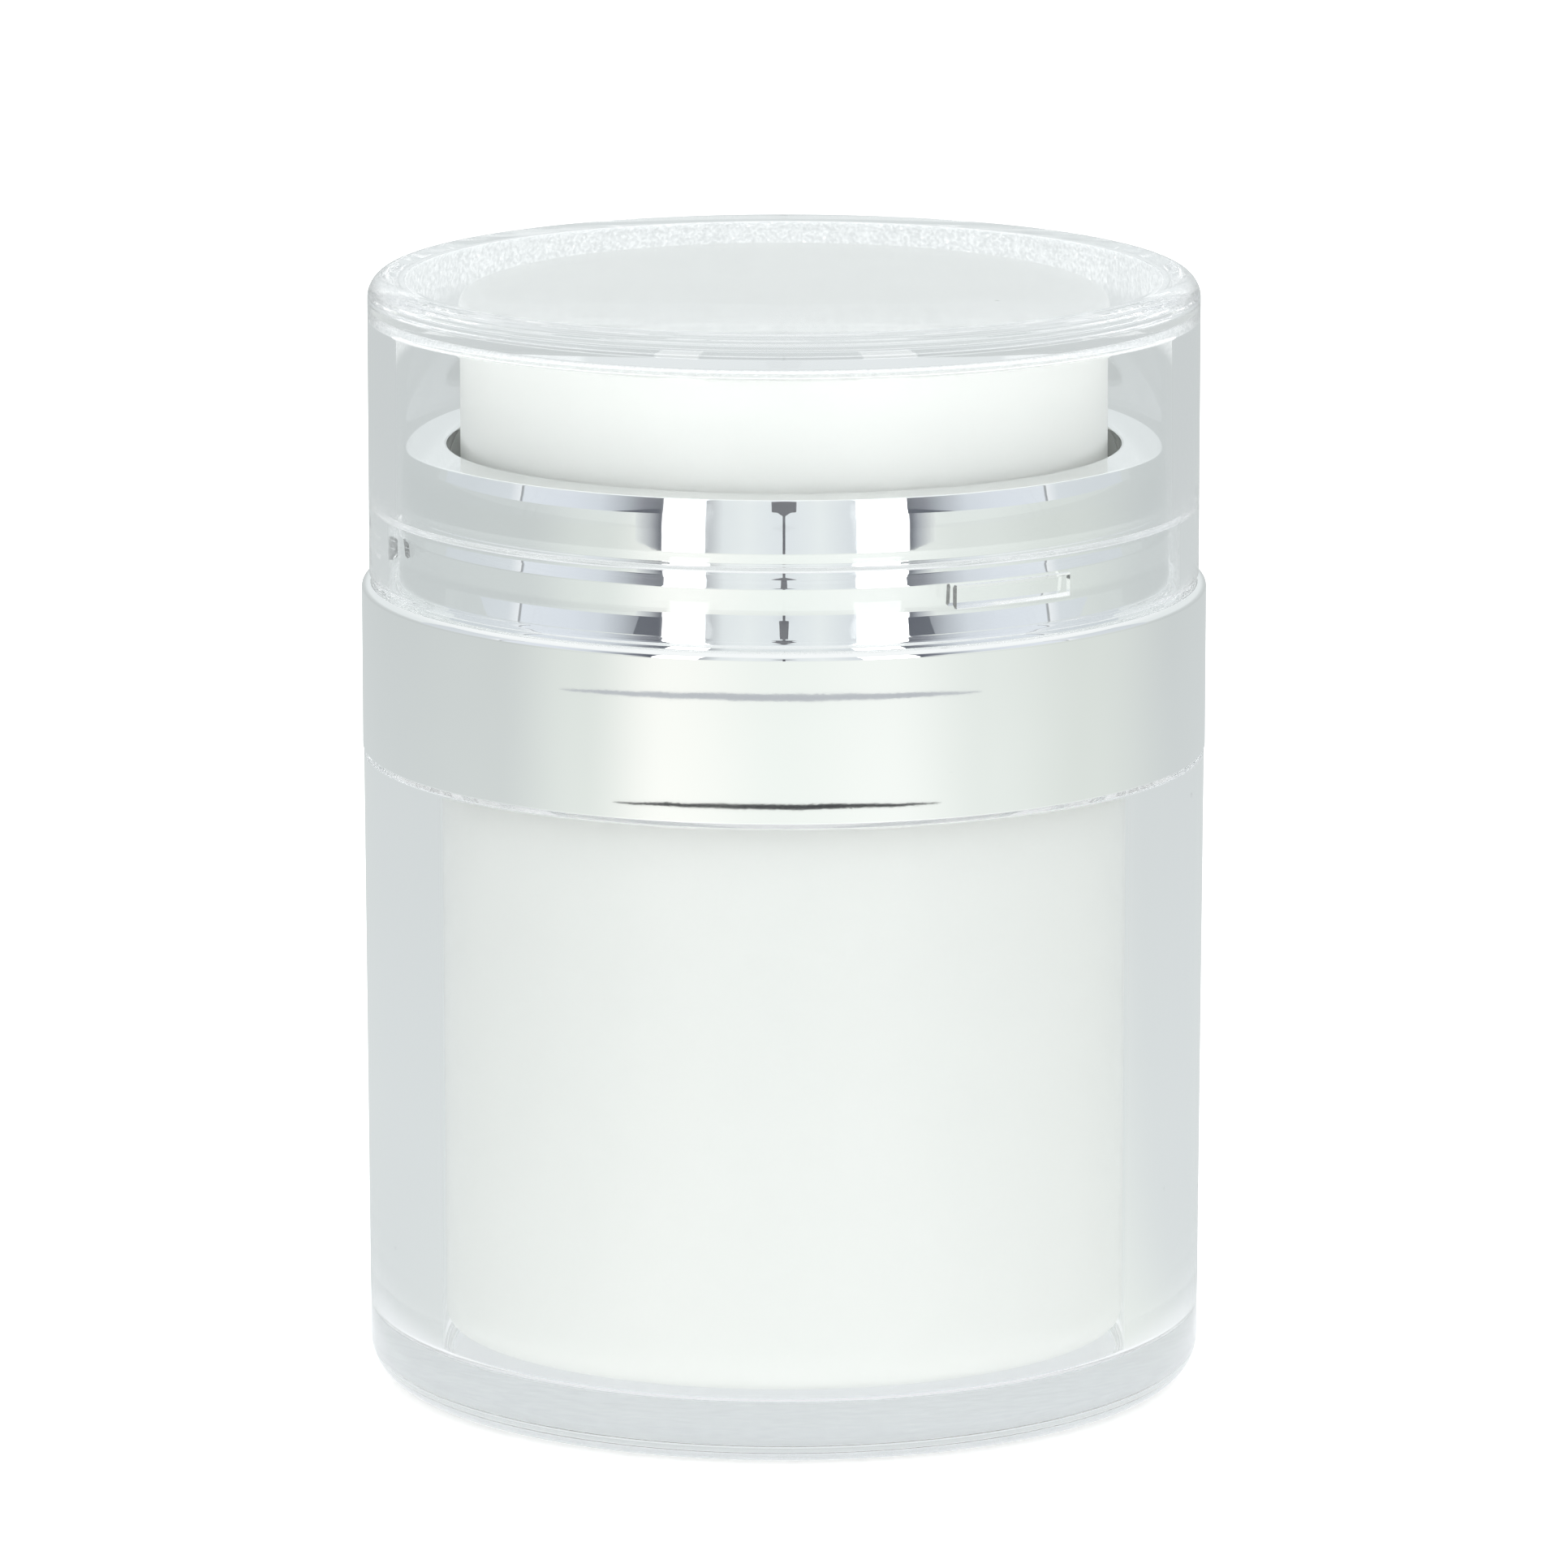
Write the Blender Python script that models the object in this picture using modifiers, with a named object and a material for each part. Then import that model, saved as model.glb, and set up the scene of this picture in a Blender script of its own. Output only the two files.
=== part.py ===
"""Press-top airless cream jar: a clear outer jar with a white cup inside, a bright collar that
carries the pump, a white press head and a clear push-fit cap. Metres, +Z up, base centre at the
origin, all round pieces turned about Z."""

from math import acos, atan2, ceil, cos, hypot, pi, radians, sin, tan

import bmesh
import bpy
from mathutils import Matrix, Vector

PART_NAME = "pump_cream_jar"

# Overall width, from which the other round pieces step in
COLLAR_RADIUS = 0.031

# Clearances between pieces
SEAT_GAP = 0.0003
LIP_GAP = 0.0002
SLIDE_GAP = 0.0004

# Clear outer jar
JAR_INSET = 0.00007
JAR_TAPER = 0.00023
JAR_BODY_HEIGHT = 0.0469
JAR_WALL = 0.00543
JAR_FLOOR = 0.0039
JAR_FLOOR_CORNER = 0.0006
JAR_BASE_EDGE = 0.003
JAR_SHOULDER_EDGE = 0.0004
JAR_NECK_EDGE = 0.0003
FOOT_RING_WIDTH = 0.0055
FOOT_RECESS = 0.0004

# White inner cup
CUP_DRAFT = 0.0001
CUP_WALL = 0.0013
CUP_FLOOR = 0.0013
CUP_CORNER = 0.003
CUP_FLANGE = 0.0012
VENT_RADIUS = 0.0012

# Follower piston
FOLLOWER_HEIGHT = 0.008
FOLLOWER_WALL = 0.0012
FOLLOWER_CROWN_DROP = 0.0012
FOLLOWER_LIP_REACH = 0.001
FOLLOWER_LIP_HEIGHT = 0.0016
FOLLOWER_LIP_EDGE = 0.0003
FOLLOWER_WELL_GAP = 0.001

# Bright collar sleeve
COLLAR_BAND_HEIGHT = 0.0123
COLLAR_EDGE = 0.0009
SLEEVE_WALL = 0.0011
NECK_HEIGHT = 0.0106
SHOULDER_LEDGE = 0.0029
NECK_LEAD = 0.00165
NECK_LEAD_REACH = 0.0003
NECK_TAPER = 0.0001
NECK_EDGE = 0.0003
NECK_RIM = 0.00345
NECK_STEP = 0.00015
NECK_FOOT_HEIGHT = 0.00065
GROOVE_DEPTH = 0.0001
GROOVE_PITCH = 0.003
GROOVE_FLARE = 0.0014
BEAD_RAMP = 0.0011
FOOT_RAMP = 0.0017
BORE_LIP = 0.0022
BORE_EDGE = 0.0003

# White insert that screws onto the jar and carries the pump
INSERT_WALL = 0.0018
PLATE = 0.0013
GUIDE_WALL = 0.0012
GUIDE_RIB = 0.0012
GUIDE_RIB_COUNT = 8
GUIDE_RIB_DROP = 0.0006
GASKET = 0.0008
GASKET_WIDTH = 0.0028

# Pump housing and its ring
PUMP_BORE = 0.0056
HOUSING_WALL = 0.0009
HOUSING_FLANGE_REACH = 0.0035
HOUSING_FLANGE = 0.001
HOUSING_FLOOR = 0.0012
HOUSING_CORNER = 0.001
PUMP_GASKET = 0.0006
INLET_RADIUS = 0.0016
INLET_WALL = 0.001
INLET_LENGTH = 0.0012
LOCK_RING = 0.0012
LOCK_RING_EDGE = 0.0006
LOCK_TUBE_LENGTH = 0.0016

# Stem, foot, plunger and valves
STROKE = 0.0055
STEM_RADIUS = 0.003
STEM_WALL = 0.0013
STEM_STOP = 0.0012
STEM_STOP_REACH = 0.0016
STEM_PORT_RADIUS = 0.0005
STEM_TOP_CHAMFER = 0.0003
PLUNGER_HEIGHT = 0.0026
PLUNGER_SLIP = 0.001
PLUNGER_WAIST = 0.0009
PLUNGER_LIP_HEIGHT = 0.0008
FOOT_DISC = 0.0012
FOOT_REACH = 0.0014
FOOT_SPIGOT = 0.0009
VALVE_DISC = 0.0006
VALVE_CROWN = 0.0004
INLET_VALVE_OVERLAP = 0.0014
INLET_VALVE_LIFT = 0.0008
OUTLET_VALVE_LIFT = 0.0007
OUTLET_VALVE_INSET = 0.0006
STROKE_SPARE = 0.0006

# Press head
HEAD_WALL = 0.0013
HEAD_TOP = 0.0014
HEAD_DISH = 0.0024
HEAD_RIM = 0.0009
HEAD_EDGE = 0.0005
HEAD_TO_BORE = 0.00095
HEAD_TO_CAP = 0.00115
OUTLET_RADIUS = 0.0015
OUTLET_FLARE = 0.0003
HUB_WALL = 0.0013
HEAD_RIB = 0.001
HEAD_RIB_HEIGHT = 0.0025
HEAD_RIB_COUNT = 6

# Return spring
SPRING_WIRE_RADIUS = 0.0004
SPRING_TO_HUB = 0.0012
SPRING_TURNS = 5.5
SPRING_CLOSED_TURNS = 0.75
CLOSED_PITCH_SHARE = 1.6

# Clear over-cap
CAP_INSET = 0.00055
CAP_HEIGHT = 0.0223
CAP_TOP = 0.00265
CAP_TOP_EDGE = 0.0017
CAP_MOUTH_EDGE = 0.0004
CAP_CAVITY_EDGE = 0.0008
CAP_TO_NECK = 0.00035
CAP_BORE_DRAFT = 0.0002
CAP_TO_BEAD = 0.0009
CAP_STEP = 0.0008
LUG_COUNT = 3
LUG_FIRST_ANGLE = -56.0
LUG_SPAN = 19.0
LUG_HEIGHT = 0.0017
LUG_TO_BEAD = 0.0002
LUG_DROP = 0.00015
LUG_CHAMFER = 0.00025

# Facets
LARGE_SEGMENTS = 40
MEDIUM_SEGMENTS = 32
SMALL_SEGMENTS = 24
CHORD_ERROR = 0.00006
DISH_STEPS = 4
SPRING_POINTS_PER_TURN = 10
SPRING_BEVEL_STEPS = 1
SHARP_ANGLE = 30.0
MERGE = 0.00001
CUT_OVERRUN = 0.001
WELD_DEPTH = 0.0005

# Heights, from the table upwards
JAR_SHOULDER_Z = JAR_BODY_HEIGHT
COLLAR_BOTTOM_Z = JAR_SHOULDER_Z + SEAT_GAP
SHOULDER_Z = COLLAR_BOTTOM_Z + COLLAR_BAND_HEIGHT
NECK_TOP_Z = SHOULDER_Z + NECK_HEIGHT
PLATE_TOP_Z = SHOULDER_Z - SLEEVE_WALL - SEAT_GAP
PLATE_BOTTOM_Z = PLATE_TOP_Z - PLATE
GASKET_TOP_Z = PLATE_BOTTOM_Z - SEAT_GAP
GASKET_BOTTOM_Z = GASKET_TOP_Z - GASKET
CUP_TOP_Z = GASKET_BOTTOM_Z - SEAT_GAP
CUP_FLANGE_Z = CUP_TOP_Z - CUP_FLANGE
JAR_TOP_Z = CUP_FLANGE_Z - SEAT_GAP
CUP_BOTTOM_Z = JAR_FLOOR + SEAT_GAP
CUP_FLOOR_Z = CUP_BOTTOM_Z + CUP_FLOOR
FOLLOWER_Z = CUP_FLOOR_Z + SEAT_GAP

# Radii, from the outside inwards
JAR_TOP_RADIUS = COLLAR_RADIUS - JAR_INSET
JAR_BASE_RADIUS = JAR_TOP_RADIUS - JAR_TAPER
CAP_RADIUS = COLLAR_RADIUS - CAP_INSET
INSERT_RADIUS = COLLAR_RADIUS - SLEEVE_WALL - SEAT_GAP
INSERT_BORE = INSERT_RADIUS - INSERT_WALL
JAR_NECK_RADIUS = INSERT_BORE - SEAT_GAP
JAR_BORE = JAR_TOP_RADIUS - JAR_WALL
CUP_RADIUS = JAR_BORE - SEAT_GAP
CUP_BORE = CUP_RADIUS - CUP_WALL
CUP_FLANGE_RADIUS = JAR_NECK_RADIUS - SEAT_GAP
NECK_RADIUS = COLLAR_RADIUS - SHOULDER_LEDGE
SNAP_BEAD_RADIUS = NECK_RADIUS + NECK_STEP
NECK_FOOT_RADIUS = SNAP_BEAD_RADIUS + NECK_STEP
HEAD_BORE = NECK_RADIUS - NECK_RIM
HEAD_RADIUS = HEAD_BORE - HEAD_TO_BORE
HOUSING_RADIUS = PUMP_BORE + HOUSING_WALL
HOUSING_FLANGE_RADIUS = HOUSING_RADIUS + HOUSING_FLANGE_REACH
PLATE_BORE = HOUSING_RADIUS + SEAT_GAP
STEM_BORE = STEM_RADIUS - STEM_WALL
HUB_BORE = STEM_RADIUS + SEAT_GAP
HUB_RADIUS = HUB_BORE + HUB_WALL
SPRING_RADIUS = HUB_RADIUS + SPRING_TO_HUB + SPRING_WIRE_RADIUS
CAP_MOUTH_BORE = SNAP_BEAD_RADIUS + CAP_TO_BEAD
CAP_UPPER_BORE = NECK_RADIUS + CAP_TO_NECK

# Pump heights, from the plate that carries it
PUMP_GASKET_Z = PLATE_TOP_Z + SEAT_GAP
HOUSING_FLANGE_Z = PUMP_GASKET_Z + PUMP_GASKET + SEAT_GAP
LOCK_RING_Z = HOUSING_FLANGE_Z + HOUSING_FLANGE + SEAT_GAP
LOCK_RING_TOP_Z = LOCK_RING_Z + LOCK_RING
LOCK_TUBE_Z = LOCK_RING_Z - LOCK_TUBE_LENGTH
STEM_STOP_TOP_Z = LOCK_TUBE_Z - SEAT_GAP
STEM_STOP_Z = STEM_STOP_TOP_Z - STEM_STOP
PLUNGER_TOP_Z = STEM_STOP_Z - SEAT_GAP - PLUNGER_SLIP
PLUNGER_Z = PLUNGER_TOP_Z - PLUNGER_HEIGHT
FOOT_TOP_Z = PLUNGER_Z - SEAT_GAP
FOOT_Z = FOOT_TOP_Z - FOOT_DISC
INLET_VALVE_Z = FOOT_Z - STROKE - STROKE_SPARE - INLET_VALVE_LIFT - VALVE_DISC - VALVE_CROWN
HOUSING_FLOOR_Z = INLET_VALVE_Z - SEAT_GAP
HOUSING_BOTTOM_Z = HOUSING_FLOOR_Z - HOUSING_FLOOR
INLET_BOTTOM_Z = HOUSING_BOTTOM_Z - INLET_LENGTH

# Head and cap heights, from the collar shoulder
CAP_BOTTOM_Z = SHOULDER_Z + SEAT_GAP
CAP_TOP_Z = CAP_BOTTOM_Z + CAP_HEIGHT
CAP_CEILING_Z = CAP_TOP_Z - CAP_TOP
HEAD_TOP_Z = CAP_CEILING_Z - HEAD_TO_CAP
DISH_Z = HEAD_TOP_Z - HEAD_DISH
HEAD_CEILING_Z = DISH_Z - HEAD_TOP
HEAD_BOTTOM_Z = PLATE_TOP_Z + STROKE + STROKE_SPARE
HUB_BOTTOM_Z = LOCK_RING_TOP_Z + STROKE + SEAT_GAP
OUTLET_VALVE_Z = HEAD_CEILING_Z - SEAT_GAP - OUTLET_VALVE_LIFT - VALVE_DISC - VALVE_CROWN
STEM_TOP_Z = OUTLET_VALVE_Z - SEAT_GAP

# Snap grooves in the neck, from the shoulder upwards
NECK_FOOT_Z = SHOULDER_Z + NECK_FOOT_HEIGHT
LOWER_GROOVE_Z = NECK_FOOT_Z + FOOT_RAMP
UPPER_GROOVE_Z = LOWER_GROOVE_Z + GROOVE_PITCH
SNAP_BEAD_Z = UPPER_GROOVE_Z - BEAD_RAMP
GROOVE_TOP_Z = UPPER_GROOVE_Z + GROOVE_FLARE


# Scene and materials
def clear_scene():
    for item in list(bpy.data.objects):
        bpy.data.objects.remove(item, do_unlink=True)


def new_collection(name):
    collection = bpy.data.collections.new(name)
    bpy.context.scene.collection.children.link(collection)
    return collection


def principled(name, color, roughness, metallic=0.0, transmission=0.0, ior=1.5):
    """A material with one Principled shader."""
    material = bpy.data.materials.new(name)
    material.use_nodes = True
    shader = material.node_tree.nodes["Principled BSDF"]
    shader.inputs["Base Color"].default_value = (*color, 1.0)
    shader.inputs["Roughness"].default_value = roughness
    shader.inputs["Metallic"].default_value = metallic
    shader.inputs["Transmission Weight"].default_value = transmission
    shader.inputs["IOR"].default_value = ior
    material.diffuse_color = (*color, 1.0)
    material.metallic = metallic
    material.roughness = roughness
    return material


def clear_acrylic():
    return principled("clear_acrylic", (0.93, 0.96, 0.97), 0.03, transmission=1.0, ior=1.49)


def white_plastic():
    return principled("white_plastic", (0.93, 0.95, 0.93), 0.25)


def bright_metal():
    return principled("bright_metal", (0.86, 0.87, 0.87), 0.05, metallic=1.0)


def natural_plastic():
    return principled("natural_plastic", (0.82, 0.84, 0.82), 0.4)


def soft_seal():
    return principled("soft_seal", (0.75, 0.77, 0.76), 0.6)


def spring_steel():
    return principled("spring_steel", (0.6, 0.61, 0.62), 0.25, metallic=1.0)


# Outlines and turned shapes
def corner_arc(before, corner, after, radius):
    """Points that round one corner of an outline, with the radius limited by its two sides."""
    a = Vector(before) - Vector(corner)
    b = Vector(after) - Vector(corner)
    between = a.angle(b)
    turn = pi - between
    reach = min(radius / tan(between / 2), a.length / 2, b.length / 2)
    radius = reach * tan(between / 2)
    start = Vector(corner) + a.normalized() * reach
    end = Vector(corner) + b.normalized() * reach
    centre = Vector(corner) + (a.normalized() + b.normalized()).normalized() * hypot(reach, radius)
    first = atan2(start.y - centre.y, start.x - centre.x)
    sweep = atan2(end.y - centre.y, end.x - centre.x) - first
    sweep = (sweep + pi) % (2 * pi) - pi
    steps = max(1, ceil(turn / (2 * acos(1 - min(1, CHORD_ERROR / radius)))))
    angles = [first + sweep * i / steps for i in range(steps + 1)]
    return [(centre.x + radius * cos(t), centre.y + radius * sin(t)) for t in angles]


def outline(corners, closed=True):
    """The points of an outline given as (radius, height) or (radius, height, rounding) corners."""
    points = []
    count = len(corners)
    for i, corner in enumerate(corners):
        inside = closed or 0 < i < count - 1
        if len(corner) == 3 and inside:
            before = corners[i - 1][:2]
            after = corners[(i + 1) % count][:2]
            points += corner_arc(before, corner[:2], after, corner[2])
        else:
            points.append(corner[:2])
    return points


def place(item, material, collection):
    item.data.materials.append(material)
    collection.objects.link(item)
    return item


def turned(name, points, material, collection, segments, closed=True):
    """A profile in the XZ plane, turned about Z by a Screw modifier. A closed profile makes a
    ring; an open one starts and ends on the axis. Its outer side runs from top to bottom."""
    mesh = bpy.data.meshes.new(name)
    shape = bmesh.new()
    verts = [shape.verts.new((x, 0.0, z)) for x, z in points]
    pairs = list(zip(verts, verts[1:]))
    if closed:
        pairs.append((verts[-1], verts[0]))
    for pair in pairs:
        shape.edges.new(pair)
    shape.to_mesh(mesh)
    shape.free()
    item = bpy.data.objects.new(name, mesh)
    screw = item.modifiers.new("turn", "SCREW")
    screw.axis = "Z"
    screw.angle = 2 * pi
    screw.steps = segments
    screw.render_steps = segments
    screw.use_merge_vertices = True
    screw.merge_threshold = MERGE
    screw.use_smooth_shade = True
    return place(item, material, collection)


def apply_modifiers(item):
    """Replaces the object's mesh by what its modifiers make of it."""
    bpy.context.view_layer.update()
    graph = bpy.context.evaluated_depsgraph_get()
    mesh = bpy.data.meshes.new_from_object(item.evaluated_get(graph))
    item.modifiers.clear()
    item.data = mesh


def shade_round(item):
    """Smooth along the turning and the roundings, with crisp edges elsewhere."""
    item.data.shade_smooth()
    item.data.set_sharp_from_angle(angle=radians(SHARP_ANGLE))


def boolean(item, other, operation):
    step = item.modifiers.new(operation.lower(), "BOOLEAN")
    step.operation = operation
    step.solver = "EXACT"
    step.object = other


def helper(name, shape, collection):
    """An object that only a Boolean reads, made from a bmesh."""
    mesh = bpy.data.meshes.new(name)
    shape.to_mesh(mesh)
    shape.free()
    item = bpy.data.objects.new(name, mesh)
    item.hide_render = True
    item.display_type = "WIRE"
    collection.objects.link(item)
    return item


def cylinder_helper(name, radius, length, collection):
    """A cylinder along X, centred on the origin."""
    shape = bmesh.new()
    bmesh.ops.create_cone(
        shape, cap_ends=True, segments=SMALL_SEGMENTS // 2, radius1=radius, radius2=radius, depth=length
    )
    bmesh.ops.rotate(shape, verts=shape.verts, matrix=Matrix.Rotation(pi / 2, 3, "Y"))
    return helper(name, shape, collection)


def radial_rib(name, corners, thickness, angle, collection):
    """A flat rib whose outline lies in the XZ plane, turned about Z by an angle in radians."""
    shape = bmesh.new()
    face = shape.faces.new([shape.verts.new((x, -thickness / 2, z)) for x, z in corners])
    grown = bmesh.ops.extrude_face_region(shape, geom=[face])["geom"]
    moved = [part for part in grown if isinstance(part, bmesh.types.BMVert)]
    bmesh.ops.translate(shape, verts=moved, vec=(0.0, thickness, 0.0))
    bmesh.ops.recalc_face_normals(shape, faces=shape.faces)
    bmesh.ops.rotate(shape, verts=shape.verts, matrix=Matrix.Rotation(angle, 3, "Z"))
    return helper(name, shape, collection)


def add_ribs(item, corners, thickness, count, collection):
    """Joins evenly spaced radial ribs to an object."""
    for i in range(count):
        angle = 2 * pi * (i + 0.5) / count
        rib = radial_rib(f"{item.name}_rib_{i + 1}", corners, thickness, angle, collection)
        boolean(item, rib, "UNION")


def arc_block(name, inner, outer, low, high, chamfer, middle, span, collection):
    """A curved block between two radii, centred on an angle in degrees, with its tip chamfered."""
    corners = [
        (outer, high),
        (outer, low),
        (inner + chamfer, low),
        (inner, low + chamfer),
        (inner, high - chamfer),
        (inner + chamfer, high),
    ]
    steps = max(2, ceil(span / (360 / LARGE_SEGMENTS)))
    shape = bmesh.new()
    rings = []
    for i in range(steps + 1):
        angle = radians(middle - span / 2 + span * i / steps)
        rings.append([shape.verts.new((r * cos(angle), r * sin(angle), z)) for r, z in corners])
    for near, far in zip(rings, rings[1:]):
        for k in range(len(corners)):
            j = (k + 1) % len(corners)
            shape.faces.new((near[k], near[j], far[j], far[k]))
    shape.faces.new(rings[0])
    shape.faces.new(rings[-1][::-1])
    bmesh.ops.recalc_face_normals(shape, faces=shape.faces)
    return helper(name, shape, collection)


# Jar, cup and follower
def outer_jar(parts, material):
    foot_radius = JAR_BASE_RADIUS - FOOT_RING_WIDTH
    base_bore = JAR_BORE - CUP_DRAFT
    return turned(
        "outer_jar",
        outline(
            [
                (0.0, JAR_FLOOR),
                (base_bore, JAR_FLOOR, JAR_FLOOR_CORNER),
                (JAR_BORE, JAR_TOP_Z),
                (JAR_NECK_RADIUS, JAR_TOP_Z, JAR_NECK_EDGE),
                (JAR_NECK_RADIUS, JAR_SHOULDER_Z),
                (JAR_TOP_RADIUS, JAR_SHOULDER_Z, JAR_SHOULDER_EDGE),
                (JAR_BASE_RADIUS, 0.0, JAR_BASE_EDGE),
                (foot_radius, 0.0),
                (foot_radius - FOOT_RECESS, FOOT_RECESS),
                (0.0, FOOT_RECESS),
            ],
            closed=False,
        ),
        material,
        parts,
        LARGE_SEGMENTS,
        closed=False,
    )


def inner_cup(parts, material):
    base_radius = CUP_RADIUS - CUP_DRAFT
    return turned(
        "inner_cup",
        outline(
            [
                (CUP_FLANGE_RADIUS, CUP_TOP_Z),
                (CUP_FLANGE_RADIUS, CUP_FLANGE_Z),
                (CUP_RADIUS, CUP_FLANGE_Z),
                (base_radius, CUP_BOTTOM_Z, CUP_CORNER),
                (VENT_RADIUS, CUP_BOTTOM_Z),
                (VENT_RADIUS, CUP_FLOOR_Z),
                (base_radius - CUP_WALL, CUP_FLOOR_Z, CUP_CORNER - CUP_WALL),
                (CUP_BORE, CUP_TOP_Z),
            ]
        ),
        material,
        parts,
        LARGE_SEGMENTS,
    )


def follower_piston(parts, material):
    """A thin double-lipped piston with a central well that takes the end of the pump."""
    lip = CUP_BORE - CUP_DRAFT - LIP_GAP
    skirt = lip - FOLLOWER_LIP_REACH
    well = HOUSING_RADIUS + FOLLOWER_WELL_GAP
    top = FOLLOWER_Z + FOLLOWER_HEIGHT
    crown = top - FOLLOWER_CROWN_DROP
    lower_lip = max(CUP_CORNER - CUP_WALL, 0.0) + FOLLOWER_Z
    return turned(
        "follower_piston",
        outline(
            [
                (0.0, FOLLOWER_Z + FOLLOWER_WALL),
                (well, FOLLOWER_Z + FOLLOWER_WALL),
                (well, crown),
                (skirt - FOLLOWER_WALL, crown),
                (lip - FOLLOWER_LIP_EDGE, top),
                (lip, top),
                (skirt, top - FOLLOWER_LIP_HEIGHT),
                (skirt, lower_lip + FOLLOWER_LIP_HEIGHT),
                (lip, lower_lip),
                (lip - FOLLOWER_LIP_EDGE, lower_lip),
                (skirt - FOLLOWER_WALL, lower_lip + FOLLOWER_LIP_HEIGHT),
                (skirt - FOLLOWER_WALL, crown - FOLLOWER_WALL),
                (well + FOLLOWER_WALL, crown - FOLLOWER_WALL),
                (well + FOLLOWER_WALL, FOLLOWER_Z),
                (0.0, FOLLOWER_Z),
            ],
            closed=False,
        ),
        material,
        parts,
        LARGE_SEGMENTS,
        closed=False,
    )


# Collar
def collar_sleeve(parts, material):
    """Wide band, shoulder and neck with two sawtooth snap grooves, turned in over the bore."""
    bore_wall = HEAD_BORE + SLEEVE_WALL
    neck_inside = NECK_RADIUS - SLEEVE_WALL
    lead_radius = NECK_RADIUS - NECK_TAPER
    return turned(
        "collar_sleeve",
        outline(
            [
                (lead_radius - NECK_LEAD_REACH, NECK_TOP_Z, NECK_EDGE),
                (lead_radius, NECK_TOP_Z - NECK_LEAD),
                (NECK_RADIUS, GROOVE_TOP_Z),
                (NECK_RADIUS - GROOVE_DEPTH, UPPER_GROOVE_Z),
                (SNAP_BEAD_RADIUS, SNAP_BEAD_Z),
                (SNAP_BEAD_RADIUS - GROOVE_DEPTH, LOWER_GROOVE_Z),
                (NECK_FOOT_RADIUS, NECK_FOOT_Z),
                (NECK_FOOT_RADIUS, SHOULDER_Z),
                (COLLAR_RADIUS, SHOULDER_Z, COLLAR_EDGE),
                (COLLAR_RADIUS, COLLAR_BOTTOM_Z),
                (COLLAR_RADIUS - SLEEVE_WALL, COLLAR_BOTTOM_Z),
                (COLLAR_RADIUS - SLEEVE_WALL, SHOULDER_Z - SLEEVE_WALL),
                (neck_inside, SHOULDER_Z - SLEEVE_WALL),
                (neck_inside, NECK_TOP_Z - SLEEVE_WALL),
                (bore_wall, NECK_TOP_Z - SLEEVE_WALL),
                (bore_wall, NECK_TOP_Z - BORE_LIP),
                (HEAD_BORE, NECK_TOP_Z - BORE_LIP),
                (HEAD_BORE, NECK_TOP_Z - BORE_EDGE),
                (HEAD_BORE + BORE_EDGE, NECK_TOP_Z),
            ]
        ),
        material,
        parts,
        LARGE_SEGMENTS,
    )


def collar_insert(parts, cutters, material):
    """Skirt round the jar's neck, plate that carries the pump, and a ribbed guide wall."""
    guide_top = NECK_TOP_Z - BORE_LIP - SEAT_GAP
    guide_radius = HEAD_BORE + GUIDE_WALL
    item = turned(
        "collar_insert",
        outline(
            [
                (guide_radius, guide_top),
                (guide_radius, PLATE_TOP_Z),
                (INSERT_RADIUS, PLATE_TOP_Z),
                (INSERT_RADIUS, COLLAR_BOTTOM_Z + SEAT_GAP),
                (INSERT_BORE, COLLAR_BOTTOM_Z + SEAT_GAP),
                (INSERT_BORE, PLATE_BOTTOM_Z),
                (PLATE_BORE, PLATE_BOTTOM_Z),
                (PLATE_BORE, PLATE_TOP_Z),
                (HEAD_BORE, PLATE_TOP_Z),
                (HEAD_BORE, guide_top),
            ]
        ),
        material,
        parts,
        LARGE_SEGMENTS,
    )
    rib_radius = NECK_RADIUS - SLEEVE_WALL - SEAT_GAP
    rib_top = guide_top - GUIDE_RIB_DROP
    rib = [
        (guide_radius - GUIDE_WALL / 2, rib_top),
        (rib_radius, rib_top - GUIDE_RIB_DROP),
        (rib_radius, PLATE_TOP_Z - PLATE / 2),
        (guide_radius - GUIDE_WALL / 2, PLATE_TOP_Z - PLATE / 2),
    ]
    add_ribs(item, rib, GUIDE_RIB, GUIDE_RIB_COUNT, cutters)
    return item


def flat_ring(name, inner, outer, low, high, material, parts, segments):
    return turned(
        name,
        outline([(outer, high), (outer, low), (inner, low), (inner, high)]),
        material,
        parts,
        segments,
    )


def neck_gasket(parts, material):
    inner = CUP_FLANGE_RADIUS - GASKET_WIDTH
    return flat_ring(
        "neck_gasket",
        inner,
        CUP_FLANGE_RADIUS,
        GASKET_BOTTOM_Z,
        GASKET_TOP_Z,
        material,
        parts,
        LARGE_SEGMENTS,
    )


# Pump
def pump_gasket(parts, material):
    return flat_ring(
        "pump_gasket",
        PLATE_BORE,
        HOUSING_FLANGE_RADIUS,
        PUMP_GASKET_Z,
        PUMP_GASKET_Z + PUMP_GASKET,
        material,
        parts,
        SMALL_SEGMENTS,
    )


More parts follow.
